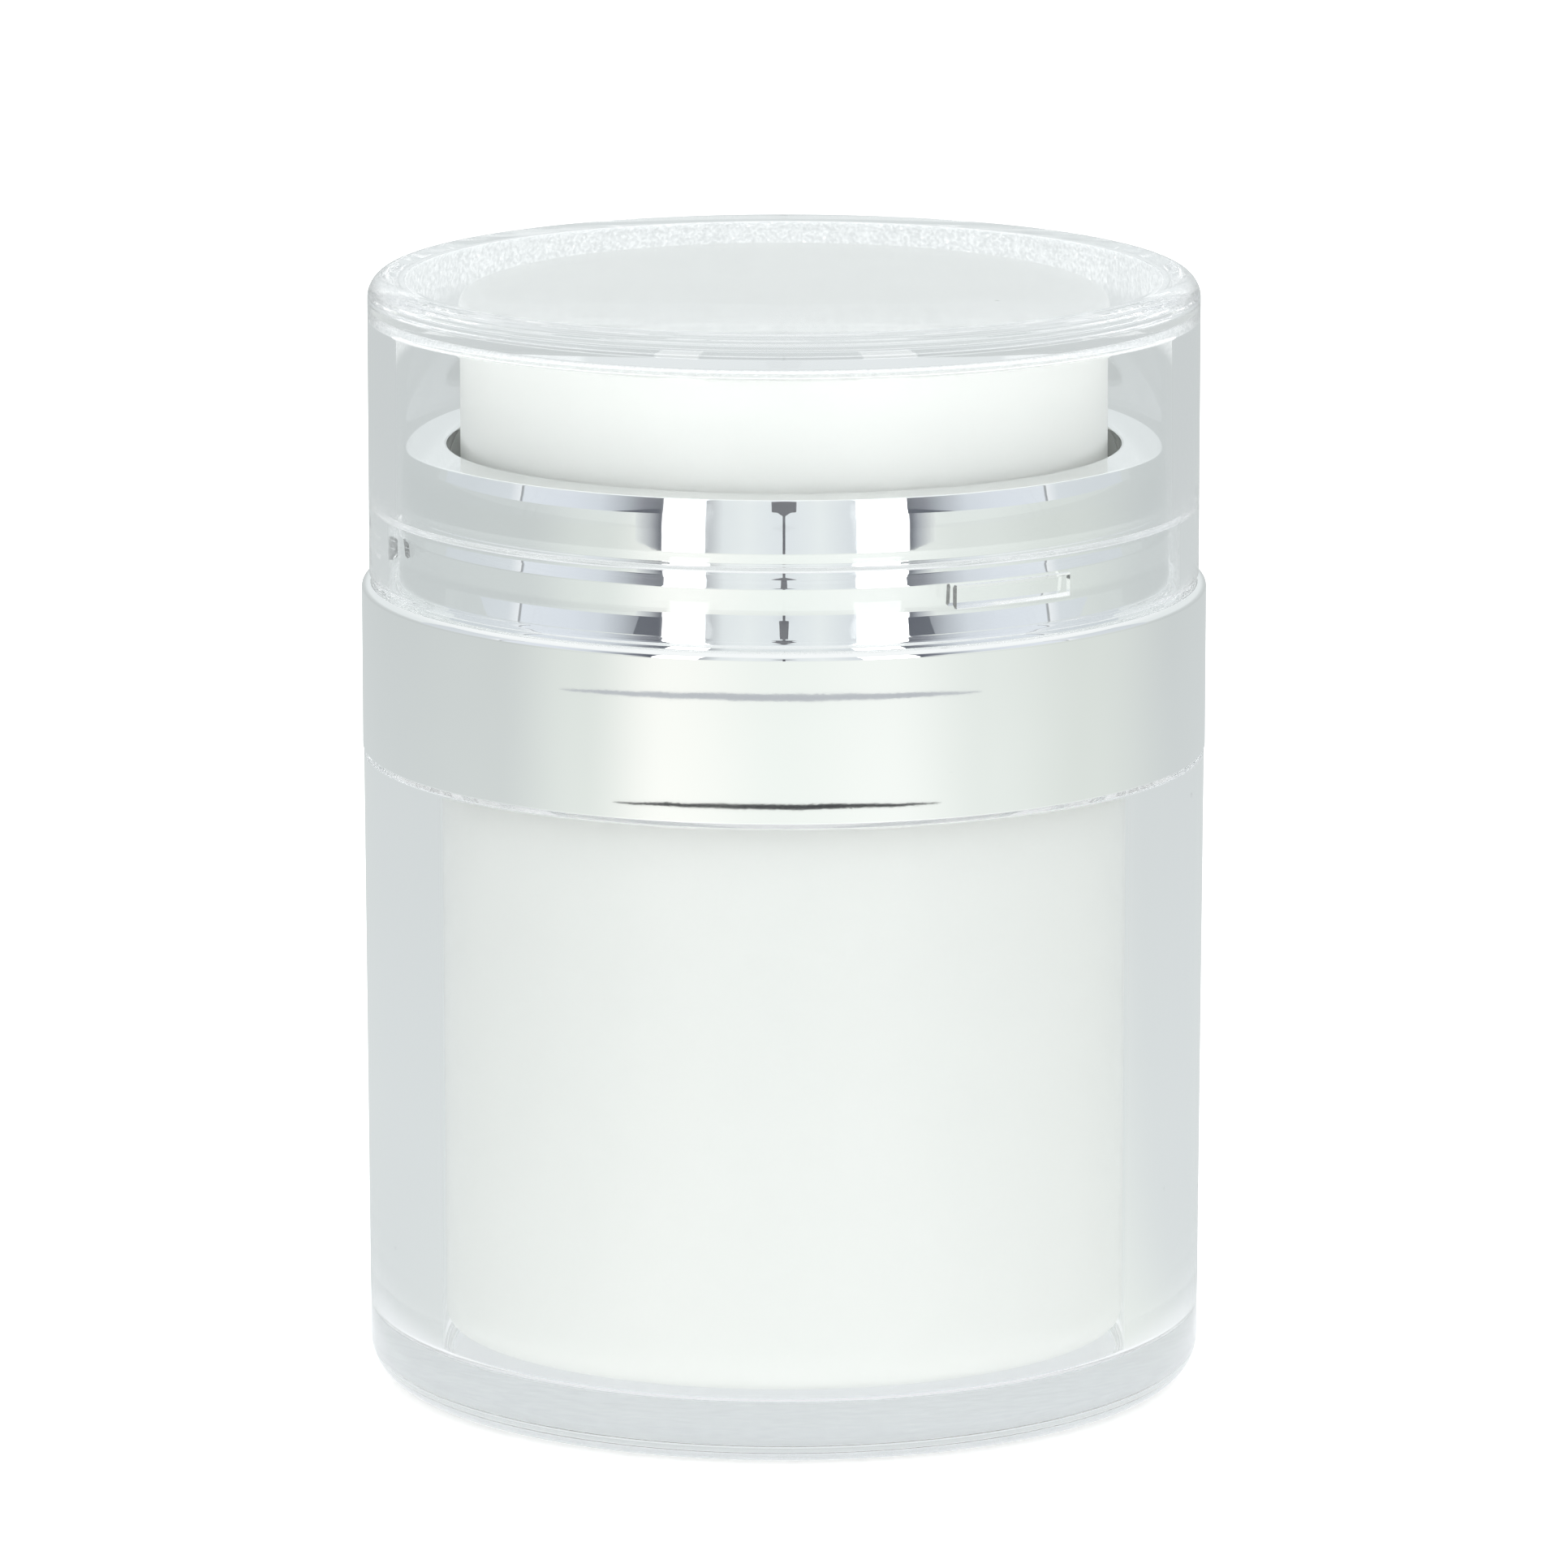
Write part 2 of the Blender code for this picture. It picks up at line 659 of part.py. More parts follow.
def pump_housing(parts, material):
    """Barrel that hangs through the plate, with its inlet and valve seat at the bottom."""
    flange_top = HOUSING_FLANGE_Z + HOUSING_FLANGE
    inlet_outside = INLET_RADIUS + INLET_WALL
    return turned(
        "pump_housing",
        outline(
            [
                (HOUSING_FLANGE_RADIUS, flange_top),
                (HOUSING_FLANGE_RADIUS, HOUSING_FLANGE_Z),
                (HOUSING_RADIUS, HOUSING_FLANGE_Z),
                (HOUSING_RADIUS, HOUSING_BOTTOM_Z, HOUSING_CORNER),
                (inlet_outside, HOUSING_BOTTOM_Z),
                (inlet_outside, INLET_BOTTOM_Z),
                (INLET_RADIUS, INLET_BOTTOM_Z),
                (INLET_RADIUS, HOUSING_FLOOR_Z),
                (PUMP_BORE, HOUSING_FLOOR_Z),
                (PUMP_BORE, flange_top),
            ]
        ),
        material,
        parts,
        MEDIUM_SEGMENTS,
    )


def lock_ring(parts, material):
    """Ring that closes the housing and guides the stem."""
    outside = HOUSING_FLANGE_RADIUS - LOCK_RING_EDGE
    tube = PUMP_BORE - SEAT_GAP
    inside = STEM_RADIUS + SLIDE_GAP
    return turned(
        "lock_ring",
        outline(
            [
                (outside, LOCK_RING_TOP_Z, LOCK_RING_EDGE),
                (outside, LOCK_RING_Z),
                (tube, LOCK_RING_Z),
                (tube, LOCK_TUBE_Z),
                (inside, LOCK_TUBE_Z),
                (inside, LOCK_RING_TOP_Z),
            ]
        ),
        material,
        parts,
        MEDIUM_SEGMENTS,
    )


def valve(name, radius, low, parts, material):
    """A round disc with a low crown."""
    edge = low + VALVE_DISC
    return turned(
        name,
        outline(
            [
                (0.0, edge + VALVE_CROWN),
                (radius / 2, edge + VALVE_CROWN, VALVE_CROWN),
                (radius, edge),
                (radius, low),
                (0.0, low),
            ],
            closed=False,
        ),
        material,
        parts,
        SMALL_SEGMENTS,
        closed=False,
    )


def inlet_valve(parts, material):
    return valve("inlet_valve", INLET_RADIUS + INLET_VALVE_OVERLAP, INLET_VALVE_Z, parts, material)


def outlet_valve(parts, material):
    return valve("outlet_valve", HUB_BORE - OUTLET_VALVE_INSET, OUTLET_VALVE_Z, parts, material)


def pump_stem(parts, cutters, material):
    """Hollow stem with a stop under the lock ring and two ports that the plunger covers."""
    stop = STEM_RADIUS + STEM_STOP_REACH
    item = turned(
        "pump_stem",
        outline(
            [
                (STEM_RADIUS, STEM_TOP_Z, STEM_TOP_CHAMFER),
                (STEM_RADIUS, STEM_STOP_TOP_Z),
                (stop, STEM_STOP_TOP_Z),
                (stop, STEM_STOP_Z),
                (STEM_RADIUS, STEM_STOP_Z),
                (STEM_RADIUS, PLUNGER_Z),
                (STEM_BORE, PLUNGER_Z),
                (STEM_BORE, STEM_TOP_Z),
            ]
        ),
        material,
        parts,
        SMALL_SEGMENTS,
    )
    port = cylinder_helper("stem_port_cutter", STEM_PORT_RADIUS, 2 * STEM_RADIUS + CUT_OVERRUN, cutters)
    port.location.z = (PLUNGER_Z + PLUNGER_TOP_Z) / 2
    boolean(item, port, "DIFFERENCE")
    return item


def stem_foot(parts, material):
    """Plug in the end of the stem that keeps the plunger on."""
    spigot = STEM_BORE - SEAT_GAP
    return turned(
        "stem_foot",
        outline(
            [
                (0.0, FOOT_TOP_Z + FOOT_SPIGOT),
                (spigot, FOOT_TOP_Z + FOOT_SPIGOT),
                (spigot, FOOT_TOP_Z),
                (STEM_RADIUS + FOOT_REACH, FOOT_TOP_Z),
                (STEM_RADIUS + FOOT_REACH, FOOT_Z),
                (0.0, FOOT_Z),
            ],
            closed=False,
        ),
        material,
        parts,
        SMALL_SEGMENTS,
        closed=False,
    )


def plunger_seal(parts, material):
    """Ring on the stem with a lip at each end that wipes the barrel."""
    inner = STEM_RADIUS + LIP_GAP
    lip = PUMP_BORE - LIP_GAP
    waist = lip - PLUNGER_WAIST
    return turned(
        "plunger_seal",
        outline(
            [
                (lip, PLUNGER_TOP_Z),
                (lip, PLUNGER_TOP_Z - PLUNGER_LIP_HEIGHT / 2),
                (waist, PLUNGER_TOP_Z - PLUNGER_LIP_HEIGHT),
                (waist, PLUNGER_Z + PLUNGER_LIP_HEIGHT),
                (lip, PLUNGER_Z + PLUNGER_LIP_HEIGHT / 2),
                (lip, PLUNGER_Z),
                (inner, PLUNGER_Z),
                (inner, PLUNGER_TOP_Z),
            ]
        ),
        material,
        parts,
        MEDIUM_SEGMENTS,
    )


def spring_point(turn, low, high):
    """A point of the spring's centre line, with close turns at both ends."""
    share = turn / SPRING_TURNS
    closed_share = SPRING_CLOSED_TURNS / SPRING_TURNS
    closed_rise = SPRING_CLOSED_TURNS * 2 * SPRING_WIRE_RADIUS * CLOSED_PITCH_SHARE
    if share < closed_share:
        height = low + closed_rise * share / closed_share
    elif share > 1 - closed_share:
        height = high - closed_rise * (1 - share) / closed_share
    else:
        rise = (share - closed_share) / (1 - 2 * closed_share)
        height = low + closed_rise + rise * (high - low - 2 * closed_rise)
    angle = 2 * pi * turn
    return Vector((SPRING_RADIUS * cos(angle), SPRING_RADIUS * sin(angle), height))


def spring_gap(points):
    """The least distance between turns of the wire's surface."""
    least = 1.0
    apart = SPRING_POINTS_PER_TURN // 2 + 1
    for i, point in enumerate(points):
        for other in points[i + apart :]:
            least = min(least, (point - other).length)
    return least - 2 * SPRING_WIRE_RADIUS


def return_spring(parts, material):
    """Open-coiled wire between the lock ring and the underside of the head."""
    low = LOCK_RING_TOP_Z + SEAT_GAP + SPRING_WIRE_RADIUS
    high = HEAD_CEILING_Z - SEAT_GAP - SPRING_WIRE_RADIUS
    count = round(SPRING_TURNS * SPRING_POINTS_PER_TURN)
    points = [spring_point(i / SPRING_POINTS_PER_TURN, low, high) for i in range(count + 1)]
    print(f"return_spring: least gap between turns {spring_gap(points) * 1000:.2f} mm")
    curve = bpy.data.curves.new("return_spring", "CURVE")
    curve.dimensions = "3D"
    curve.bevel_depth = SPRING_WIRE_RADIUS
    curve.bevel_resolution = SPRING_BEVEL_STEPS
    curve.use_fill_caps = True
    spline = curve.splines.new("POLY")
    spline.points.add(count)
    for target, point in zip(spline.points, points):
        target.co = (*point, 1.0)
    item = bpy.data.objects.new("return_spring", curve)
    return place(item, material, parts)


# Press head
def dish_height(radius, edge_radius):
    """Height of the dished top at a radius."""
    return DISH_Z + HEAD_DISH * (radius / edge_radius) ** 2


def press_head(parts, cutters, material):
    """Dished button with a tall skirt, an outlet in its middle, a hub for the stem and ribs."""
    rim = HEAD_RADIUS - HEAD_RIM
    inside = HEAD_RADIUS - HEAD_WALL
    seat = SPRING_RADIUS + 2 * SPRING_WIRE_RADIUS
    first = OUTLET_RADIUS + OUTLET_FLARE
    radii = [first + (rim - first) * i / DISH_STEPS for i in range(DISH_STEPS + 1)]
    dish = [(r, dish_height(r, rim)) for r in radii]
    under_radii = [seat + (inside - seat) * i / DISH_STEPS for i in range(DISH_STEPS + 1)]
    under = [(r, dish_height(r, rim) - HEAD_TOP) for r in under_radii]
    item = turned(
        "press_head",
        outline(
            [
                *dish,
                (HEAD_RADIUS, HEAD_TOP_Z, HEAD_EDGE),
                (HEAD_RADIUS, HEAD_BOTTOM_Z),
                (inside, HEAD_BOTTOM_Z),
                *reversed(under),
                (seat, HEAD_CEILING_Z),
                (HUB_RADIUS, HEAD_CEILING_Z),
                (HUB_RADIUS, HUB_BOTTOM_Z),
                (HUB_BORE, HUB_BOTTOM_Z),
                (HUB_BORE, HEAD_CEILING_Z),
                (OUTLET_RADIUS, HEAD_CEILING_Z),
                (OUTLET_RADIUS, DISH_Z - OUTLET_FLARE),
            ]
        ),
        material,
        parts,
        LARGE_SEGMENTS,
    )
    rib_low = HEAD_CEILING_Z - HEAD_RIB_HEIGHT
    rib = [(seat + SEAT_GAP, rib_low)]
    rib += [(r, z + HEAD_TOP / 2) for r, z in under]
    rib += [(inside + HEAD_WALL / 2, under[-1][1] + HEAD_TOP / 2)]
    rib += [(inside + HEAD_WALL / 2, rib_low)]
    add_ribs(item, rib, HEAD_RIB, HEAD_RIB_COUNT, cutters)
    return item


# Over-cap
def over_cap(parts, cutters, material):
    """Clear cap with a thick flat top and snap lugs inside its mouth."""
    ceiling_radius = CAP_UPPER_BORE - CAP_BORE_DRAFT
    mouth_top_z = UPPER_GROOVE_Z - CAP_STEP / 2
    item = turned(
        "over_cap",
        outline(
            [
                (0.0, CAP_TOP_Z),
                (CAP_RADIUS, CAP_TOP_Z, CAP_TOP_EDGE),
                (CAP_RADIUS, CAP_BOTTOM_Z, CAP_MOUTH_EDGE),
                (CAP_MOUTH_BORE, CAP_BOTTOM_Z, CAP_MOUTH_EDGE),
                (CAP_MOUTH_BORE, mouth_top_z),
                (CAP_UPPER_BORE, mouth_top_z + CAP_STEP),
                (ceiling_radius, CAP_CEILING_Z, CAP_CAVITY_EDGE),
                (0.0, CAP_CEILING_Z),
            ],
            closed=False,
        ),
        material,
        parts,
        LARGE_SEGMENTS,
        closed=False,
    )
    high = SNAP_BEAD_Z - LUG_DROP
    for i in range(LUG_COUNT):
        lug = arc_block(
            f"snap_lug_{i + 1}",
            SNAP_BEAD_RADIUS + LUG_TO_BEAD,
            CAP_MOUTH_BORE + WELD_DEPTH,
            high - LUG_HEIGHT,
            high,
            LUG_CHAMFER,
            LUG_FIRST_ANGLE + 360 * i / LUG_COUNT,
            LUG_SPAN,
            cutters,
        )
        boolean(item, lug, "UNION")
    return item


def body_axis(name, parent, pieces):
    """An empty on the jar's centre line that carries the pieces of one moving body."""
    axis = bpy.data.objects.new(name, None)
    bpy.data.collections[PART_NAME].objects.link(axis)
    axis.parent = parent
    for piece in pieces:
        piece.parent = axis
    return axis


def main():
    clear_scene()
    parts = new_collection(PART_NAME)
    cutters = new_collection("cutters")
    acrylic = clear_acrylic()
    white = white_plastic()
    natural = natural_plastic()
    seal = soft_seal()
    jar = [outer_jar(parts, acrylic), inner_cup(parts, white)]
    follower = [follower_piston(parts, natural)]
    gasket = [neck_gasket(parts, seal)]
    pump_unit = [
        collar_sleeve(parts, bright_metal()),
        collar_insert(parts, cutters, white),
        pump_gasket(parts, seal),
        pump_housing(parts, natural),
        lock_ring(parts, natural),
    ]
    spring = return_spring(parts, spring_steel())
    head = [press_head(parts, cutters, white), pump_stem(parts, cutters, white), stem_foot(parts, natural)]
    plunger = [plunger_seal(parts, seal)]
    valve_in = [inlet_valve(parts, seal)]
    valve_out = [outlet_valve(parts, seal)]
    cap = [over_cap(parts, cutters, acrylic)]
    for item in jar + follower + gasket + pump_unit + head + plunger + valve_in + valve_out + cap:
        apply_modifiers(item)
        shade_round(item)
    jar_axis = body_axis("jar_axis", None, jar)
    body_axis("follower_axis", jar_axis, follower)
    screw_axis = body_axis("screw_axis", jar_axis, gasket)
    pump_axis = body_axis("pump_axis", screw_axis, pump_unit + [spring])
    head_axis = body_axis("head_axis", pump_axis, head)
    body_axis("plunger_axis", head_axis, plunger)
    body_axis("inlet_valve_axis", pump_axis, valve_in)
    body_axis("outlet_valve_axis", head_axis, valve_out)
    body_axis("cap_axis", pump_axis, cap)


main()
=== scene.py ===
"""Looks of the pump cream jar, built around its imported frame: fine turned pieces, their finishes,
and a plain pale studio. Sizes are in millimetres until a mesh is made."""

from math import atan2, ceil, cos, hypot, pi, radians, sin, tan

import bmesh
import bpy
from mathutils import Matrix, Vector


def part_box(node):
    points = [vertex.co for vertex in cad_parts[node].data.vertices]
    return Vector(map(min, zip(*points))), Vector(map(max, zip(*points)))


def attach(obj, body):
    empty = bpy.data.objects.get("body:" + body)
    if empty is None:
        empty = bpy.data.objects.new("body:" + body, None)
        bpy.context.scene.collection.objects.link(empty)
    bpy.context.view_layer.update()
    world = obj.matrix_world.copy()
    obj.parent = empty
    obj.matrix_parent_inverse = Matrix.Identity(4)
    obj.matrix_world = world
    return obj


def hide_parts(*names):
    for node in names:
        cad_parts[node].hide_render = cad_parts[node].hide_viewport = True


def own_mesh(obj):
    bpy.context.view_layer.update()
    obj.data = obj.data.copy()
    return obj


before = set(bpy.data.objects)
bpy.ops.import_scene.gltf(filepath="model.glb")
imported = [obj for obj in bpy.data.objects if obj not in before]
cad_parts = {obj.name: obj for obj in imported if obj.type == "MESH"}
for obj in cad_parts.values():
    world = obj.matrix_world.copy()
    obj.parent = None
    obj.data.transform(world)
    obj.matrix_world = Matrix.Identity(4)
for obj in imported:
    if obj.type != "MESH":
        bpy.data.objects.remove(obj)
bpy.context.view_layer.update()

MM = 0.001

# Fineness of the turned pieces
ROUND_STEPS = 256
ARC_STEP_DEGREES = 7.5
SHARP_DEGREES = 32.0
SUPPORT = 0.03
POLE = 1e-9

# The most of a side that a rounding may take, the small rounding and draft that several pieces
# share, and how deep ribs and lugs sink into the wall that carries them
SIDE_SHARE = 0.48
SMALL_EDGE = 0.15
DRAFT = 0.1
WELD = 0.5


def reach_of(node):
    """The radius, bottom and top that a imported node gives."""
    low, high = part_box(node)
    return high.x / MM, low.z / MM, high.z / MM


COLLAR_RADIUS, COLLAR_BOTTOM, NECK_TOP = reach_of("collar_sleeve")
CAP_RADIUS, CAP_BOTTOM, CAP_TOP = reach_of("over_cap")
HEAD_RADIUS, _, HEAD_TOP = reach_of("press_head")
JAR_RADIUS, _, JAR_TOP = reach_of("outer_jar")
CUP_FLANGE_RADIUS, CUP_BOTTOM, CUP_TOP = reach_of("inner_cup")
INSERT_RADIUS, INSERT_BOTTOM, INSERT_TOP = reach_of("collar_insert")
spring_low, spring_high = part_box("return_spring")

# Clear jar
JAR_BODY = 46.9
JAR_BASE_RADIUS = 30.7
JAR_SHOULDER_EDGE = 0.15
JAR_BASE_EDGE = 3.0
JAR_NECK_CORE = 27.0
JAR_NECK_EDGE = 0.4
JAR_BORE = 25.5
JAR_FLOOR = 3.9
JAR_FLOOR_CORNER = 0.6
FOOT_RADIUS = 25.2
FOOT_RECESS = 0.4
FOOT_EDGE = 0.6
VENT_RADIUS = 1.2

# Screw thread between the jar's neck and the insert
THREAD_PITCH = 3.2
THREAD_REACH = 0.65
THREAD_SHARE = 0.36
THREAD_LOW = 48.2
THREAD_HIGH = 52.9
THREAD_CREST_SHARE = 0.2
THREAD_RUN_OUT = 0.35
THREAD_ROW = 0.16
INSERT_THREAD_REACH = 0.55
INSERT_THREAD_RISE = 0.3
INSERT_THREAD_HIGH = 53.6
INSERT_THREAD_TURN = 0.5
WALL_TOLERANCE = 2e-5

# White cup
CUP_RADIUS = 25.2
CUP_WALL = 1.3
CUP_FLANGE = 1.2
CUP_CORNER = 3.0

# Bright collar
SHOULDER = 59.6
COLLAR_EDGE = 0.6
COLLAR_WALL = 1.1
COLLAR_FOOT_EDGE = 0.12
NECK_RADIUS = 28.1
NECK_INSIDE = NECK_RADIUS - COLLAR_WALL
NECK_BORE = 24.65
NECK_LEAD = 1.65
NECK_LEAD_REACH = 0.3
NECK_LEAD_RADIUS = 28.0
NECK_TOP_EDGE = 0.1
GROOVE_TOP = 66.25
UPPER_GROOVE = 64.85
UPPER_GROOVE_RADIUS = 28.0
SNAP_BEAD = 63.75
SNAP_BEAD_RADIUS = 28.25
LOWER_GROOVE = 61.85
LOWER_GROOVE_RADIUS = 28.15
NECK_FOOT = 60.15
NECK_FOOT_RADIUS = 28.45
NECK_CREST_EDGE = 0.4
GROOVE_ROUNDING = 3.0
LEAD_ROUNDING = 12.0
BORE_LIP = 2.2
BORE_EDGE = 0.3

# White insert inside the collar
PLATE_TOP = 58.1
PLATE_BOTTOM = 56.8
PLATE_BORE = 6.8
INSERT_BORE = 27.8
INSERT_EDGE = 0.2
INSERT_SHOULDER_EDGE = 0.3
GUIDE_WALL = 1.2
GUIDE_RIB = 1.2
GUIDE_RIB_COUNT = 8
GUIDE_RIB_DROP = 0.6
GUIDE_RIB_GAP = 0.3

# Press head
HEAD_BOTTOM = 64.2
HEAD_WALL = 1.3
HEAD_SKIN = 1.4
HEAD_RIM = 0.9
HEAD_RIM_EDGE = 0.25
HEAD_EDGE = 0.5
DISH_DEPTH = 2.4
DISH_STEPS = 24
OUTLET_RADIUS = 1.5
OUTLET_EDGE = 0.3
HUB_BORE = 3.3
HUB_RADIUS = 4.6
HUB_BOTTOM = 67.6
HEAD_CEILING = 74.5
HEAD_SEAT = 7.0
HEAD_RIB = 1.0
HEAD_RIB_COUNT = 6
HEAD_RIB_HEIGHT = 2.5
HEAD_RIB_INSET = 0.3

# Clear cap
CAP_TOP_EDGE = 1.7
CAP_MOUTH_EDGE = 0.4
CAP_CEILING = 79.45
CAP_UPPER_BORE = 28.45
CAP_CAVITY_EDGE = 0.8
CAP_RIM_STEPS = 48
CAP_RIM_LINE_EVERY = 6
CAP_RIM_LINE = 0.0035
CAP_MOUTH_BORE = 29.05
CAP_STEP = 0.35
CAP_STEP_MIDDLE = 65.25
CAP_STEP_EDGE = 0.1
LUG_COUNT = 3
LUG_FIRST_DEGREES = -56.0
LUG_SPAN_DEGREES = 19.0
LUG_LOW = 62.0
LUG_HIGH = 63.7
LUG_TIP = 28.45
LUG_EDGE = 0.25
LUG_STEPS = 12

# Frost at the top of the cap's bore, whose whiteness is a painted glow in its emission: the heights
# between which it grows, the corner where it is faint, the part of the grain that it follows, its
# painted glow there, and that of a speck
FROST_LOW = 75.8
FROST_FULL = 77.2
FROST_CORNER = 78.7
FROST_CORNER_SHARE = 0.15
FROST_GRAIN = (0.36, 0.66)
FROST_PAINTED_GLOW = (0.12, 0.70)
FROST_SPECK_GLOW = 0.6

# Return spring
SPRING_RADIUS = 6.2
SPRING_WIRE = 0.4
SPRING_TURNS = 5.5
SPRING_CLOSED_SHARE = 0.136
SPRING_CLOSED_RISE = 0.96
SPRING_STEPS = 400
SPRING_WIRE_STEPS = 16

# Camera, at the photograph's angle
CAMERA_PLACE = (0.0, -0.777084, 0.200621)
CAMERA_PITCH = 78.6
CAMERA_LENS = 246.8


# Outlines
def corner_arc(before, corner, after, radius):
    """Points that round one corner of an outline, with the radius limited by its two sides. A
    point close to each end of the rounding keeps the straight sides beside it straight."""
    a = Vector(before) - Vector(corner)
    b = Vector(after) - Vector(corner)
    between = a.angle(b)
    reach = min(radius / tan(between / 2), a.length * SIDE_SHARE, b.length * SIDE_SHARE)
    radius = reach * tan(between / 2)
    start = Vector(corner) + a.normalized() * reach
    end = Vector(corner) + b.normalized() * reach
    centre = Vector(corner) + (a.normalized() + b.normalized()).normalized() * hypot(reach, radius)
    first = atan2(start.y - centre.y, start.x - centre.x)
    sweep = atan2(end.y - centre.y, end.x - centre.x) - first
    sweep = (sweep + pi) % (2 * pi) - pi
    steps = max(2, ceil(abs(sweep) / radians(ARC_STEP_DEGREES)))
    angles = [first + sweep * i / steps for i in range(steps + 1)]
    arc = [(centre.x + radius * cos(t), centre.y + radius * sin(t)) for t in angles]
    lead = start + a.normalized() * min(SUPPORT, a.length - reach)
    trail = end + b.normalized() * min(SUPPORT, b.length - reach)
    return [tuple(lead), *arc, tuple(trail)]


def outline(corners, closed=True):
    """The points of an outline given as (radius, height) or (radius, height, rounding) corners."""
    points = []
    count = len(corners)
    for i, corner in enumerate(corners):
        inside = closed or 0 < i < count - 1
        if len(corner) == 3 and inside:
            before = corners[i - 1][:2]
            after = corners[(i + 1) % count][:2]
            points += corner_arc(before, corner[:2], after, corner[2])
        else:
            points.append(corner[:2])
    return points


def evenly(first, last, steps):
    """Values from the first to the last in even steps."""
    return [first + (last - first) * i / steps for i in range(steps + 1)]


def rows_between(radius, high, low, step):
    """Points down a straight wall, close enough to carry a thread."""
    return [(radius, height) for height in evenly(high, low, ceil((high - low) / step))]


# Meshes
def linked(name, data):
    """A new object in the scene that carries the data."""
    item = bpy.data.objects.new(name, data)
    bpy.context.scene.collection.objects.link(item)
    return item


def solid(name, shape):
    """An object made of a set of faces, each turned outward."""
    bmesh.ops.recalc_face_normals(shape, faces=shape.faces)
    mesh = bpy.data.meshes.new(name)
    shape.to_mesh(mesh)
    shape.free()
    return linked(name, mesh)


def spot(radius, height, angle):
    """A place in metres at a radius, a height and an angle about Z."""
    return radius * MM * cos(angle), radius * MM * sin(angle), height * MM


def turned(name, points, closed=True):
    """A closed solid made by turning an outline about Z. Its outer side runs from top to bottom."""
    shape = bmesh.new()
    angles = [2 * pi * k / ROUND_STEPS for k in range(ROUND_STEPS)]
    rings = []
    for radius, height in points:
        if abs(radius) < POLE:
            rings.append([shape.verts.new((0.0, 0.0, height * MM))])
        else:
            rings.append([shape.verts.new(spot(radius, height, t)) for t in angles])
    pairs = list(zip(rings, rings[1:]))
    if closed:
        pairs.append((rings[-1], rings[0]))
    for upper, lower in pairs:
        for k in range(ROUND_STEPS):
            j = (k + 1) % ROUND_STEPS
            left = [upper[k % len(upper)], lower[k % len(lower)]]
            right = [lower[j % len(lower)], upper[j % len(upper)]]
            face = list(dict.fromkeys(left + right))
            if len(face) > 2:
                shape.faces.new(face)
    return solid(name, shape)


def baked(item):
    """Turns what the object's modifiers make of it into its plain mesh."""
    bpy.context.view_layer.update()
    graph = bpy.context.evaluated_depsgraph_get()
    mesh = bpy.data.meshes.new_from_object(item.evaluated_get(graph))
    item.modifiers.clear()
    item.data = mesh


def joined(item, other):
    """Makes one closed solid of two, and takes the second away."""
    step = item.modifiers.new("join", "BOOLEAN")
    step.operation = "UNION"
    step.solver = "EXACT"
    step.object = other
    baked(item)
    bpy.data.objects.remove(other, do_unlink=True)


def skinned(name, sections):
    """A closed solid through sections of the same corners, with its two ends filled."""
    shape = bmesh.new()
    rings = [[shape.verts.new(place) for place in section] for section in sections]
    for near, far in zip(rings, rings[1:]):
        for k in range(len(near)):
            j = (k + 1) % len(near)
            shape.faces.new((near[k], near[j], far[j], far[k]))
    shape.faces.new(rings[0])
    shape.faces.new(rings[-1][::-1])
    return solid(name, shape)


def flat_rib(name, corners, thickness):
    """A flat radial rib whose outline lies in the XZ plane."""
    sides = (-thickness * MM / 2, thickness * MM / 2)
    return skinned(name, [[(r * MM, y, z * MM) for r, z in corners] for y in sides])


def curved_block(name, corners, span, steps):
    """A block that follows the turning for a span in degrees, centred on the X axis."""
    angles = [radians(span * (i / steps - 0.5)) for i in range(steps + 1)]
    return skinned(name, [[spot(r, z, t) for r, z in corners] for t in angles])


